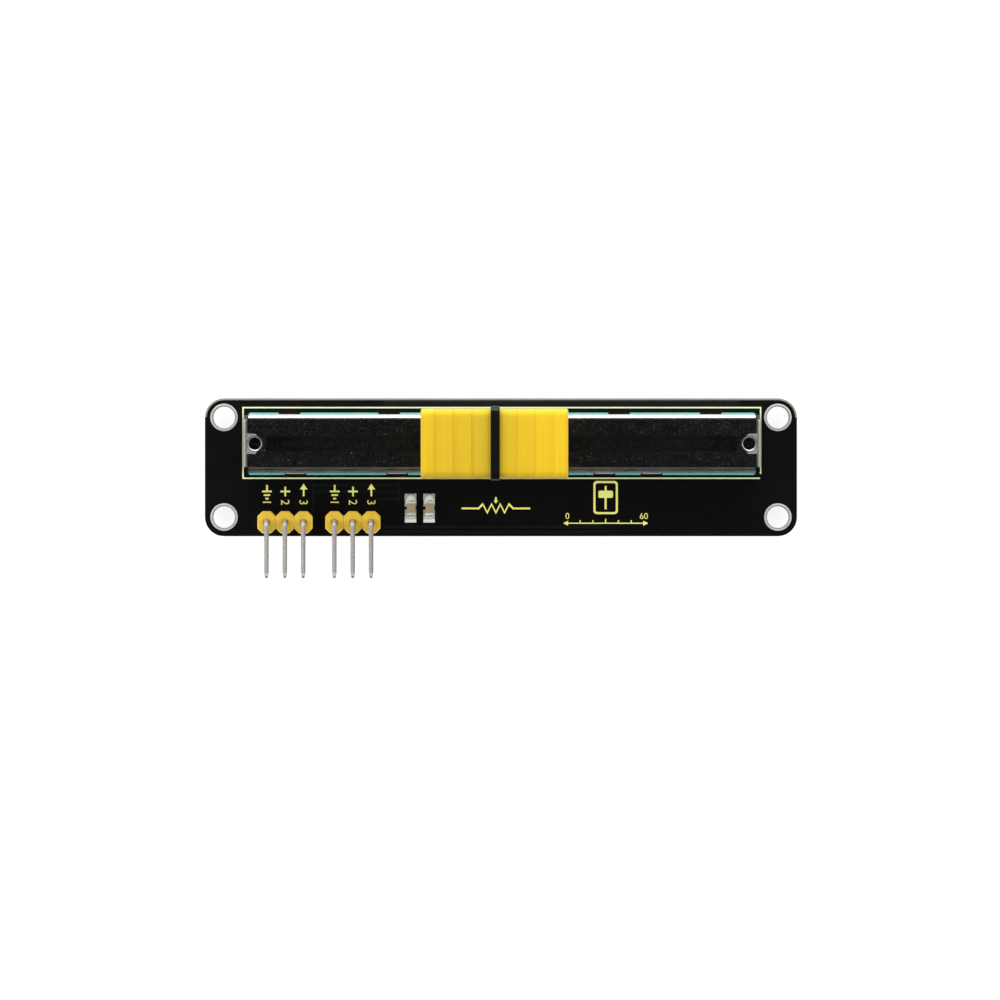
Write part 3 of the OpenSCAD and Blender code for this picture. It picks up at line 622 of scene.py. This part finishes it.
def solder_skin(side, chip_low, chip_high, pad_low, pad_high):
    """Height over one pad: a thin tinned swell and the solder that climbs the chip.

    z = (swell + climb) * sqrt((1 - u^6)(1 - v^6)), where u and v run from -1 to 1. The climb is half
    an ellipsoid on the far side, and a slope 0.62 e^(-distance / 0.2) on the near side.
    """
    u, v = np.meshgrid(np.linspace(-1, 1, 33), np.linspace(-1, 1, 33), indexing="ij")
    far = pad_high[1] if side > 0 else pad_low[1]
    near = (pad_low[1] + pad_high[1]) / 2 + side * PAD_GAP / 2
    x = (pad_low[0] + pad_high[0]) / 2 + u * (pad_high[0] - pad_low[0]) / 2
    y = (near + far) / 2 + v * abs(far - near) / 2
    edge = (1 - abs(u) ** 6) * (1 - abs(v) ** 6)
    out_x = np.maximum(np.maximum(chip_low[0] - x, x - chip_high[0]), 0)
    out_y = np.maximum(np.maximum(chip_low[1] - y, y - chip_high[1]), 0)
    from_end = np.hypot(out_x, out_y)
    cap_y = chip_high[1] - CAP_L if side > 0 else chip_low[1] + CAP_L
    by_cap = ease((side * (y - cap_y) + 0.15) / 0.3)
    ahead = ease(out_y / 0.05)
    flank = 0.3 * by_cap * (1 - ahead) * np.exp(-from_end / 0.32)
    slope = 0.62 * np.exp(-from_end / 0.2)
    aside = (x - (chip_low[0] + chip_high[0]) / 2) / DOME_HALF[0]
    beyond = (y - cap_y) / DOME_HALF[1]
    dome = DOME_HIGH * np.sqrt(np.clip(1 - aside**2 - beyond**2, 0, 1))
    climb = flank + ahead * (dome if side > 0 else slope)
    top = np.minimum((SWELL + climb) * np.sqrt(edge), chip_high[2] - board_t - 0.06)
    z = board_t + np.maximum(top, 0.002)
    m, n = z.shape
    index = np.arange(m * n).reshape(m, n)
    quads = np.stack([index[:-1, :-1], index[1:, :-1], index[1:, 1:], index[:-1, 1:]], axis=-1)
    rim = np.concatenate([index[0, :-1], index[:-1, -1], index[-1, :0:-1], index[:0:-1, 0]])
    return np.stack([x, y, z], -1).reshape(-1, 3), quads.reshape(-1, 4), [rim.tolist()]


def add_numeral(text, x, y, high, turn, finish):
    """Printed number as a thin mesh, centred on (x, y), turned by a right angle or not at all."""
    curve = bpy.data.curves.new("numeral", "FONT")
    curve.body = text
    curve.resolution_u = 6
    source = bpy.data.objects.new("numeral", curve)
    scene.collection.objects.link(source)
    graph = bpy.context.evaluated_depsgraph_get()
    mesh = bpy.data.meshes.new_from_object(source.evaluated_get(graph))
    bpy.data.objects.remove(source)
    flat = np.zeros(len(mesh.vertices) * 3)
    mesh.vertices.foreach_get("co", flat)
    flat = flat.reshape(-1, 3)
    low = flat.min(0)
    top = flat.max(0)
    flat = (flat - (low + top) / 2) * high / (top[1] - low[1])
    angle = math.radians(turn)
    placed = np.column_stack(
        [
            x + flat[:, 0] * math.cos(angle) - flat[:, 1] * math.sin(angle),
            y + flat[:, 0] * math.sin(angle) + flat[:, 1] * math.cos(angle),
            np.full(len(flat), ink_top),
        ]
    )
    mesh.vertices.foreach_set("co", (placed * MM).ravel())
    mesh.materials.clear()
    mesh.materials.append(finish.material)
    name = f"numeral_{text}_at_{int(round(x * 10))}".replace("-", "m")
    piece = bpy.data.objects.new(name, mesh)
    scene.collection.objects.link(piece)
    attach(piece, "board")


# Finishes
def board_finish():
    """Black mask over copper tracks, with bare layered laminate on the cut edges."""
    f = Finish("black_mask")
    tracks = [
        ("y", -2.46, -26.0, -14.0, 0.16),
        ("y", -3.37, -26.0, -14.0, 0.16),
        ("y", -4.4, -17.4, -14.2, 0.16),
        ("y", -8.28, -16.0, 14.0, 0.16),
        ("y", -9.0, -20.0, 15.0, 0.14),
        ("y", 8.85, -16.2, 33.0, 0.28),
        ("x", -26.0, -6.6, -2.4, 0.16),
        ("x", -14.1, -4.6, -2.4, 0.16),
    ]
    copper = 0
    for axis, at, start, stop, half in tracks:
        across, along = (f.y, f.x) if axis == "y" else (f.x, f.y)
        run = along.within((start + stop) / 2, (stop - start) / 2, 0.05)
        copper = across.within(at, half, 0.05) * run + copper
    cloud = f.noise(0.35, 4)
    grain = f.noise(9.0, 2)
    side = 1 - f.facing_up().above(0.5, 0.7)
    layers = f.noise(1.0, 2, 0.5, f.stretched(0.9, 0.9, 14.0))
    weave = f.noise(7.0, 2)
    mask = f.blend(cloud, (0.0024, 0.0024, 0.0028), (0.0040, 0.0040, 0.0046))
    mask = f.blend(copper * 0.8, mask, (0.0080, 0.0080, 0.0084))
    cut = f.blend(layers, (0.16, 0.15, 0.125), (0.40, 0.385, 0.33))
    cut = f.blend(weave * 0.5, cut, (0.10, 0.095, 0.075))
    f.bump(copper * 0.03 + grain * 0.004 + side * layers * 0.03, 1.0)
    rough = 0.34 + cloud * 0.12 + side * 0.36
    f.set(Base_Color=f.blend(side, mask, cut), Roughness=rough, Specular_IOR_Level=0.22)
    return f


def tin_finish(name, colour, dull, rough, metal=1.0, bump_depth=0.004):
    """Tin plating: a metal with cloudy dull patches, a fine matt grain and a share of oxide."""
    f = Finish(name)
    cloud = f.noise(1.3, 4)
    grain = f.noise(22.0, 3)
    f.bump(grain + cloud * 2, bump_depth)
    tone = f.blend(cloud.above(0.3, 0.75), colour, dull)
    f.set(Base_Color=tone, Metallic=metal, Roughness=rough + grain * 0.16)
    return f


def pin_finish(places):
    """Grainy tin of the pins: painted shade on the right side of each wire, painted shade at its point and a
    painted highlight just behind it.
    """
    f = Finish("pin_tin")
    low, _ = mm_box("header_pin_1")
    grain = f.noise(7.0, 3, 0.7)
    cloud = f.noise(1.3, 4)
    # painted shade on the right side of each wire
    right = 0
    for x, _ in places:
        right = f.x.within(x + 0.25, 0.16, 0.06) + right
    # painted shade at the point of each pin, and a painted highlight just behind it
    tip = 1 - f.y.above(low[1] + 0.1, low[1] + 0.3)
    neck_highlight = f.y.within(low[1] + 0.5, 0.2, 0.1)
    tone = f.blend(grain.above(0.34, 0.66), (0.46, 0.425, 0.40), (0.71, 0.67, 0.635))
    tone = f.blend(right * 0.6, tone, (0.25, 0.225, 0.205))
    tone = f.blend(neck_highlight * 0.6, tone, (0.90, 0.90, 0.88))
    tone = f.blend(tip * 0.85, tone, (0.12, 0.12, 0.12))
    f.bump(grain + cloud, 0.008)
    f.set(Base_Color=tone, Metallic=0.4, Roughness=0.34 + grain * 0.16)
    return f


def fillet_finish(places):
    """Solder of the chips: a white dome on the far side and a pale band past the near end, both painted
    highlight, and ripples round the near end that carry painted highlight.

    Both lie round the nearer chip's middle line, so across is the least distance to one.
    """
    f = Finish("chip_solder")
    low, high = mm_box("chip_ends_1")
    far_y = high[1]
    near_y = low[1]
    beyond_both = 1.0
    cloud = f.noise(2.6, 4)
    across = beyond_both
    for x, _ in places:
        across = f.x.maths("MINIMUM", abs(f.x - x), across)
    # painted highlight: a white dome on the far side and a band past the near end, less metallic and rougher
    dome = (across / 0.76) ** 2 + ((f.y - far_y + CAP_L) / 1.22) ** 2
    painted_bright = (1 - dome.above(0.8, 1.1)) * f.y.above(far_y - 0.5, far_y - 0.4)
    painted_bright = painted_bright + (1 - f.y.above(near_y - 0.62, near_y - 0.5)) * 0.7
    ring = (across**2 + (f.y - near_y - 0.25) ** 2) ** 0.5
    ripple = ring.within(0.62, 0.07, 0.05) + ring.within(0.95, 0.08, 0.05)
    ripple = ripple * (1 - f.y.above(near_y + 0.1, near_y + 0.3))
    tone = f.blend(cloud.above(0.35, 0.8), (0.62, 0.62, 0.60), (0.44, 0.44, 0.43))
    tone = f.blend(painted_bright, tone, (1.0, 0.985, 0.93))
    # painted highlight on the ripples
    tone = f.blend(ripple * 0.7, tone, (0.95, 0.95, 0.92))
    f.bump(cloud + ripple, 0.012)
    rough = 0.24 + cloud.above(0.4, 0.8) * 0.15 + painted_bright * 0.3
    f.set(Base_Color=tone, Metallic=0.25 - painted_bright * 0.25, Roughness=rough)
    return f


def solder_finish():
    """Bright solder, slightly frosted in patches."""
    f = Finish("solder")
    cloud = f.noise(2.6, 4)
    f.bump(cloud, 0.012)
    tone = f.blend(cloud.above(0.35, 0.8), (0.97, 0.97, 0.95), (0.70, 0.70, 0.69))
    f.set(Base_Color=tone, Metallic=0.55, Roughness=0.2 + cloud.above(0.4, 0.8) * 0.15)
    return f


def ink_finish():
    """Screen-printed ink, thinner in places, duller where the case end shades it."""
    f = Finish("printed_ink")
    weave = f.noise(6.0, 3)
    framing = f.y.above(-1.8, -1.7)
    shaded = abs(f.x).above(35.4, 35.5) * f.y.within(pot_y, 3.6, 0.8)
    tone = f.blend(weave.above(0.35, 0.8), (1.0, 0.97, 0.26), (0.97, 0.92, 0.22))
    tone = f.blend(framing, tone, (0.93, 0.95, 0.55))
    tone = f.blend(shaded * 0.6, tone, (0.34, 0.36, 0.24))
    f.bump(weave, 0.008)
    f.set(Base_Color=tone, Roughness=0.55 + weave * 0.15)
    return f


def housing_finish():
    """Yellow moulded nylon of the headers, with a painted highlight on its rounded rims, strongest where they
    face the front.
    """
    f = Finish("header_nylon")
    cloud = f.noise(0.8, 3)
    grain = f.noise(14.0, 3)
    _, high = mm_box("header_housing_1")
    # painted highlight on the rims, stronger where they face the front
    rim = f.z.above(high[2] - 0.17, high[2] - 0.1) * (1 - f.z.above(high[2] - 0.02, high[2] - 0.003))
    tone = f.blend(cloud, (0.86, 0.59, 0.055), (0.76, 0.49, 0.04))
    normal = f.place_axes(f.node("ShaderNodeNewGeometry", out="True Normal"))
    front_facing_highlight = (0 - normal[1]).above(0.1, 0.7)
    tone = f.blend(rim * (0.1 + front_facing_highlight * 0.85), tone, (0.95, 0.86, 0.36))
    f.bump(grain + cloud, 0.008)
    f.set(Base_Color=tone, Roughness=0.34 + grain * 0.12)
    return f


def ceramic_finish():
    """Fired ceramic, tan with fine dark and pale grains."""
    f = Finish("fired_ceramic")
    grain = f.noise(9.0, 4)
    fleck = f.cells(12.0)
    tone = f.blend(grain.above(0.3, 0.7), (0.45, 0.375, 0.235), (0.35, 0.29, 0.18))
    tone = f.blend(1 - fleck.above(0.1, 0.3), tone, (0.22, 0.17, 0.11))
    f.bump(grain, 0.01)
    f.set(Base_Color=tone, Roughness=0.42 + grain * 0.2)
    return f


def case_finish():
    """Bright folded sheet whose top carries a painted dark reflection.

    The painted dark reflection covers the top between its long bends, apart from a patch at each end and the
    collar mouths.
    Dust and grit lie on it. The collar mouths get a painted highlight ring and a painted shade ring; the
    front bend a painted darker reflection, darker again in streaks; the outer front wall a painted reflection
    of the teal element; the tabs a painted highlight. The end flaps are darker, with a painted highlight at
    their far corner and painted shade at the near one.
    """
    f = Finish("case_sheet", (case_mid[0], pot_y, 0))
    half_l = (case_high[0] - case_low[0]) / 2
    half_w = case_high[1] - pot_y
    bend_start = half_w - 0.7
    patch_half = 1.41
    collar_r = 1.15
    top = f.z.above(case_top - 0.06, case_top - 0.02)
    wide = abs(f.y)
    long = abs(f.x)
    flat = 1 - (wide - f.y * 0.018).above(bend_start - 0.14, bend_start + 0.03)
    flat = flat * (1 - long.above(half_l - 0.58, half_l - 0.46))
    from_end = half_l - 0.45 - long
    patch = 1 - abs(f.y + from_end * 0.04).above(patch_half - 0.05, patch_half + 0.05)
    patch = patch * (1 - (from_end + wide * 0.5).above(1.8, 2.1))
    mouth = ((long - SCREW_X) ** 2 + f.y**2) ** 0.5
    # painted dark reflection on the flat top, left out on the end patches and the collar mouths
    dark = top * flat * (1 - patch) * mouth.above(collar_r - 0.03, collar_r + 0.03)
    # painted highlight: a white ring round each collar mouth, less metallic
    lip = top * (1 - mouth.above(collar_r - 0.21, collar_r - 0.15))
    # painted shade: a dark ring just outside the white one
    groove_shade = top * mouth.within(collar_r - 0.12, 0.05, 0.03)
    # painted darker reflection on the front bend
    front = 1 - f.y.above(-bend_start - 0.15, -bend_start + 0.1)
    upper = f.z.above(case_top - 0.8, case_top - 0.6)
    front = front * upper
    dust = f.noise(6.0, 3, 0.7)
    drift = f.noise(0.8, 3, 0.6)
    grit = f.noise(4.6, 1, 0.5)
    scratch = f.noise(1.0, 4, 0.6, f.stretched(0.35, 9.0, 1.0))
    wave = f.noise(0.22, 2, 0.5)
    speck = f.noise(4.4, 2, 0.65)
    streak = f.noise(1.0, 3, 0.6, f.stretched(0.45, 5.0, 5.0))
    # mottled black of the painted dark reflection, with pale grit specks on it
    mottle = (speck * 0.8 + drift * 0.2).above(0.38, 0.64)
    black = f.blend(mottle, (0.0002, 0.0002, 0.0004), (0.0165, 0.0165, 0.0172))
    black = f.blend(grit.above(0.68, 0.76) * 0.3, black, (0.36, 0.36, 0.35))
    bright = f.blend(dust.above(0.4, 0.75), (0.80, 0.80, 0.79), (0.62, 0.62, 0.61))
    bright = f.blend(front * 0.5, bright, (0.38, 0.38, 0.375))
    # painted reflection of the teal element on the outer front wall
    outer = upper * (1 - f.y.above(0.16 - half_w, 0.34 - half_w))
    bright = f.blend(outer * 0.55, bright, (0.16, 0.21, 0.22))
    # darker in streaks along the front bend
    bright = f.blend(front * streak.above(0.46, 0.66) * 0.6, bright, (0.09, 0.09, 0.09))
    # end flaps darker; then a painted highlight at their far corner and painted shade at their near corner
    end = long.above(half_l - 0.5, half_l - 0.4)
    bright = f.blend(end * 0.6, bright, (0.30, 0.30, 0.30))
    bright = f.blend(end * f.y.above(3.0, 3.25), bright, (0.95, 0.95, 0.94))
    bright = f.blend(end * (1 - f.y.above(-3.35, -3.1)), bright, (0.05, 0.05, 0.05))
    bright = f.blend(lip, bright, (0.95, 0.95, 0.93))
    bright = f.blend(groove_shade, bright, (0.05, 0.05, 0.05))
    # painted highlight on the front tabs, less metallic
    tab = (1 - f.y.above(0.02 - half_w, 0.06 - half_w)) * (1 - f.z.above(3.6, 3.7))
    bright = f.blend(tab, bright, (0.80, 0.77, 0.68))
    metal = (1 - dark.above(0.5, 1.0) * 0.85) * (1 - patch * top * 0.25)
    metal = metal * (1 - lip * 0.85) * (1 - tab * 0.7)
    rough = 0.2 + dust * 0.1 + dark * 0.08 + front * 0.2
    f.bump(wave * 1.6 + scratch * 0.05 + dust * 0.05 + grit.above(0.72, 0.78) * dark * 0.06, 0.09)
    tone = f.blend(dark.above(0.0, 0.5), bright, black)
    f.set(Base_Color=tone, Metallic=metal, Roughness=rough, Specular_IOR_Level=0.22)
    return f


def element_finish():
    """Teal laminate, paler and chalky where it was punched; its top inside the case is painted shade, near
    black, with dust.
    """
    f = Finish("element_laminate", (case_mid[0], pot_y, 0))
    _, high = mm_box("element_board")
    fibre = f.noise(1.0, 3, 0.6, f.stretched(3.0, 3.0, 16.0))
    chalk = f.noise(0.3, 3)
    dust = f.noise(6.0, 3, 0.7)
    upper = f.y.above(3.9, 4.2)
    # painted shade: printed is the top face inside the case, made near black
    printed = f.z.above(high[2] - 0.02, high[2] - 0.005) * (1 - abs(f.y).above(3.7, 3.8))
    tone = f.blend(fibre, (0.09, 0.57, 0.49), (0.15, 0.71, 0.62))
    tone = f.blend(upper * chalk.above(0.35, 0.7) * 0.5, tone, (0.42, 0.62, 0.58))
    shade_and_dust = f.blend(dust.above(0.42, 0.62), (0.004, 0.005, 0.0055), (0.056, 0.065, 0.075))
    tone = f.blend(printed, tone, shade_and_dust)
    f.bump(fibre, 0.02)
    f.set(Base_Color=tone, Roughness=0.45 + fibre * 0.2)
    return f


def ring_finish():
    """Tinned linings: a pale flange, with painted shade as a fine dark line near the hole and on the slope
    into it.
    """
    f = Finish("ring_tin")
    low, high = mm_box("mounting_ring_4")
    hole = abs((low + high) / 2)
    from_hole = ((abs(f.x) - hole[0]) ** 2 + (abs(f.y) - hole[1]) ** 2) ** 0.5
    cloud = f.noise(1.3, 4)
    grain = f.noise(22.0, 3)
    flange = f.blend(cloud.above(0.3, 0.75), (0.84, 0.80, 0.77), (0.70, 0.665, 0.64))
    # painted shade on the slope into the hole
    slope = 1 - from_hole.above(HOLE_R + 0.12, HOLE_R + 0.18)
    tone = f.blend(slope, flange, (0.52, 0.49, 0.47))
    # painted shade: a fine dark line round the hole
    groove_shade = from_hole.within(HOLE_R + 0.16, 0.03, 0.02)
    tone = f.blend(groove_shade * 0.8, tone, (0.24, 0.22, 0.21))
    f.bump(grain + cloud * 2, 0.004)
    f.set(Base_Color=tone, Metallic=0.35, Roughness=0.36 + grain * 0.16)
    return f


def terminal_finish():
    """Tinned legs under the board, painted shade on the eyelets over the tracks."""
    f = Finish("terminal_tin")
    _, high = mm_box("element_board")
    cloud = f.noise(1.3, 4)
    grain = f.noise(22.0, 3)
    # painted shade: the eyelets' tops made near black and not metal
    eyelet_shade = f.z.above(high[2] - 0.2, high[2] - 0.1)
    tone = f.blend(cloud.above(0.3, 0.75), (0.74, 0.73, 0.70), (0.58, 0.57, 0.55))
    tone = f.blend(eyelet_shade, tone, (0.012, 0.012, 0.012))
    f.bump(grain + cloud * 2, 0.004)
    f.set(Base_Color=tone, Metallic=1 - eyelet_shade, Roughness=0.28 + grain * 0.16 + eyelet_shade * 0.3)
    return f


def paste_finish(name, first, second, metallic, rough):
    """Printed paste: drawn along the track, with a fine grain."""
    f = Finish(name)
    drawn = f.noise(1.0, 3, 0.6, f.stretched(0.6, 9.0, 1.0))
    grain = f.noise(18.0, 2)
    f.bump(grain + drawn, 0.006)
    tone = f.blend(drawn.above(0.3, 0.75), first, second)
    f.set(Base_Color=tone, Metallic=metallic, Roughness=rough + grain * 0.15)
    return f


def moulded_finish(name, first, second, rough):
    """Moulded plastic with a slow change of tone and a fine spark-eroded grain."""
    f = Finish(name)
    cloud = f.noise(0.5, 3)
    grain = f.noise(16.0, 3)
    f.bump(grain + cloud, 0.008)
    f.set(Base_Color=f.blend(cloud, first, second), Roughness=rough + grain * 0.12)
    return f


def knob_finish():
    """Yellow moulded knob: faint cutter lines across the scoop; painted shade darkens the scoop toward the
    bar and lifts outward with each grip step, painted shade lies on its left half and a painted highlight
    along its far edge.
    """
    f = Finish("knob_yellow", (knob_mid[0], knob_mid[1], 0))
    cutter = f.noise(1.0, 3, 0.6, f.stretched(1.5, 0.04, 0.2))
    fine = f.noise(1.0, 2, 0.5, f.stretched(8.0, 0.08, 0.3))
    grain = f.noise(12.0, 3)
    tone = f.blend(cutter.above(0.3, 0.7), (0.84, 0.55, 0.016), (0.80, 0.505, 0.014))
    tone = f.blend(fine.above(0.45, 0.8) * 0.12, tone, (0.90, 0.66, 0.035))
    # painted shade in the scoop, deepest by the bar and lighter past each grip step
    out = abs(f.x)
    painted_bright = out.above(0.3, 2.9) * 0.44
    for k in range(3):
        at = STEP_FIRST + k * STEP_PITCH
        painted_bright = out.above(at, at + STEP_RUN) * 0.187 + painted_bright
    tone = f.blend((1 - painted_bright) * 0.74, tone, (0.49, 0.35, 0.02))
    # painted shade on the left half of the knob
    left = 1 - f.x.above(-1.0, 1.0)
    tone = f.blend(left * 0.2, tone, (0.52, 0.36, 0.02))
    # painted highlight along the far long edge
    side = f.y.above(3.3, 4.7)
    tone = f.blend(side * 0.5, tone, (0.97, 0.78, 0.03))
    f.bump(cutter * 0.15 + fine * 0.08 + grain * 0.25, 0.02)
    f.set(Base_Color=tone, Roughness=0.48 + grain * 0.1 + cutter * 0.05, Specular_IOR_Level=0.35)
    return f


def pointer_finish():
    """Black moulded bar with a soft sheen and hairline scuffs."""
    f = Finish("pointer_black", (knob_mid[0], knob_mid[1], 0))
    scuff = f.noise(1.0, 4, 0.65, f.stretched(7.0, 0.7, 2.0))
    grain = f.noise(15.0, 2)
    tone = f.blend(scuff.above(0.45, 0.8), (0.003, 0.0034, 0.0034), (0.007, 0.0074, 0.0074))
    f.bump(grain + scuff, 0.008)
    f.set(Base_Color=tone, Roughness=0.24 + scuff * 0.12, Specular_IOR_Level=0.4)
    return f


def dress(finish, *names):
    """Gives CAD nodes a finish in place of their plain one."""
    for name in names:
        slots = nodes[name].data.materials
        slots.clear()
        slots.append(finish.material)


# Room
FLOOR_Z = cad_box[0][2]


def add_floor():
    """White floor that keeps the shadow, lifted to white for the camera and darker toward the front."""
    half = 3.0
    near_y = -60.0
    far_y = -20.0
    mesh = bpy.data.meshes.new("floor")
    corners = [(-half, -half, FLOOR_Z), (half, -half, FLOOR_Z), (half, half, FLOOR_Z), (-half, half, FLOOR_Z)]
    mesh.from_pydata(corners, [], [(0, 1, 2, 3)])
    floor = bpy.data.objects.new("floor", mesh)
    scene.collection.objects.link(floor)
    f = Finish("floor_white")
    seen = f.node("ShaderNodeLightPath", out="Is Camera Ray")
    lit = f.blend(f.y.above(near_y, far_y), (0.35, 0.35, 0.35), (0.85, 0.85, 0.85))
    f.set(Base_Color=f.blend(seen, lit, (0.3, 0.3, 0.3)), Roughness=0.9, Specular_IOR_Level=0.0)
    f.set(Emission_Color=f.blend(seen, (0, 0, 0), (0.86, 0.86, 0.86)), Emission_Strength=1.0)
    mesh.materials.append(f.material)


class Room(Finish):
    """Node tree of the world, with the same ways to add nodes as a finish."""

    def __init__(self, tree):
        self.tree = tree


def add_world():
    """Room: white to the camera, and for light a pale horizon under a darker ceiling."""
    world = bpy.data.worlds.new("room")
    world.use_nodes = True
    scene.world = world
    tree = world.node_tree
    tree.nodes.clear()
    room = Room(tree)
    way = room.node("ShaderNodeTexCoord", out="Generated")
    split = tree.nodes.new("ShaderNodeSeparateXYZ")
    tree.links.new(way.socket, split.inputs[0])
    up = Wire(room, split.outputs[2])
    back = Wire(room, split.outputs[1])
    level = 0.5 - up.above(0.15, 0.85) * 0.42
    level = level * (0.22 + back.above(-0.7, 0.5) * 1.6)
    seen = room.node("ShaderNodeLightPath", out="Is Camera Ray")
    level = seen + (1 - seen) * level
    glow = tree.nodes.new("ShaderNodeBackground")
    room.feed(glow.inputs["Color"], (1, 1, 1))
    room.feed(glow.inputs["Strength"], level)
    output = tree.nodes.new("ShaderNodeOutputWorld")
    tree.links.new(glow.outputs[0], output.inputs["Surface"])


def add_lamp(name, place, size, power, mirrored=True):
    """Soft rectangular lamp that looks at the board; bright finishes mirror it or not."""
    light = bpy.data.lights.new(name, "AREA")
    light.shape = "RECTANGLE"
    light.size = size[0]
    light.size_y = size[1]
    light.energy = power
    lamp = bpy.data.objects.new(name, light)
    lamp.location = place
    lamp.visible_glossy = mirrored
    lamp.rotation_euler = (Vector((0, 0, 0.005)) - Vector(place)).to_track_quat("-Z", "Y").to_euler()
    scene.collection.objects.link(lamp)


def pin_place(number):
    """Middle of a header pin's leg, as x and y."""
    low, high = mm_box(f"header_pin_{number}")
    return (low[0] + high[0]) / 2, high[1] - (high[0] - low[0]) / 2


def chip_place(number):
    """Middle of a chip, as x and y."""
    low, high = mm_box(f"chip_ends_{number}")
    return (low[0] + high[0]) / 2, (low[1] + high[1]) / 2


def leg_place(number):
    """Middle of a terminal's leg, which stands at the end away from its eyelet."""
    low, high = mm_box(f"terminal_{number}")
    eyelet_left = number in (1, 2)
    leg_x = low[0] + LEG_T / 2 if eyelet_left else high[0] - LEG_T / 2
    return leg_x, (low[1] + high[1]) / 2


LEG_T = 0.3
SIX = range(1, 7)
PAIR = (1, 2)
DIGIT_Y = -4.85
DIGIT_H = 1.15
SCALE_Y = -6.75
SCALE_H = 0.85
SCALE_ENDS = (("0", 9.2), ("60", 19.8))

pin_places = [pin_place(number) for number in SIX]
chip_places = [chip_place(number) for number in PAIR]
leg_places = [leg_place(number) for number in SIX]

add_camera()

pin_tin = pin_finish(pin_places)
fillet = fillet_finish(chip_places)
knob_yellow = knob_finish()
ring_tin = ring_finish()
chip_tin = tin_finish("chip_tin", (0.94, 0.94, 0.92), (0.66, 0.66, 0.65), 0.3, 0.25, 0.012)
lever_steel = tin_finish("lever_steel", (0.60, 0.60, 0.60), (0.47, 0.47, 0.48), 0.25)
wiper_bronze = tin_finish("wiper_bronze", (0.78, 0.50, 0.24), (0.62, 0.38, 0.17), 0.24)
solder = solder_finish()
ink = ink_finish()
nylon = housing_finish()
ceramic = ceramic_finish()
pointer_black = pointer_finish()

dress(board_finish(), "pcb")
dress(ink, "silkscreen")
dress(case_finish(), "pot_case")
dress(element_finish(), "element_board")
carbon = paste_finish("carbon_paste", (0.012, 0.012, 0.012), (0.028, 0.028, 0.028), 0.0, 0.45)
# the silver paste made near black: painted shade inside the case
silver = paste_finish("silver_paste", (0.028, 0.028, 0.0285), (0.048, 0.048, 0.048), 0.3, 0.45)
dress(carbon, "carbon_track_1", "carbon_track_2")
dress(silver, "collector_track_1", "collector_track_2")
dress(terminal_finish(), *[f"terminal_{number}" for number in SIX])
dress(moulded_finish("carriage_white", (0.62, 0.60, 0.52), (0.54, 0.52, 0.45), 0.4), "carriage")
dress(lever_steel, "lever")
dress(wiper_bronze, "wiper_1", "wiper_2")

add_knob(knob_yellow)
add_pointer(pointer_black)
for number in SIX:
    add_pin(number, pin_tin)
for number in PAIR:
    add_housing(number, nylon)
for number in (1, 2, 3, 4):
    add_ring(number, ring_tin)
for number in PAIR:
    add_chip(number, ceramic, chip_tin, fillet)

add_joints("header_solder", "pin_joints", pin_places, solder)
add_joints("terminal_solder", "leg_joints", leg_places, solder)

for pin, (x, _) in enumerate(pin_places):
    add_numeral(str(pin % 3 + 1), x, DIGIT_Y, DIGIT_H, -90, ink)
for digits, x in SCALE_ENDS:
    add_numeral(digits, x, SCALE_Y, SCALE_H, 0, ink)

add_floor()
add_world()
add_lamp("window_back", (0.0, 0.75, 0.42), (1.1, 0.5), 6.0)
add_lamp("fill_left", (-0.75, -0.05, 0.6), (0.5, 0.6), 4.8, False)
add_lamp("fill_right", (0.75, -0.05, 0.6), (0.5, 0.6), 3.6, False)
add_lamp("fill_front", (0.0, -0.8, 0.6), (0.8, 0.3), 3.0, False)

scene.view_settings.view_transform = "Standard"
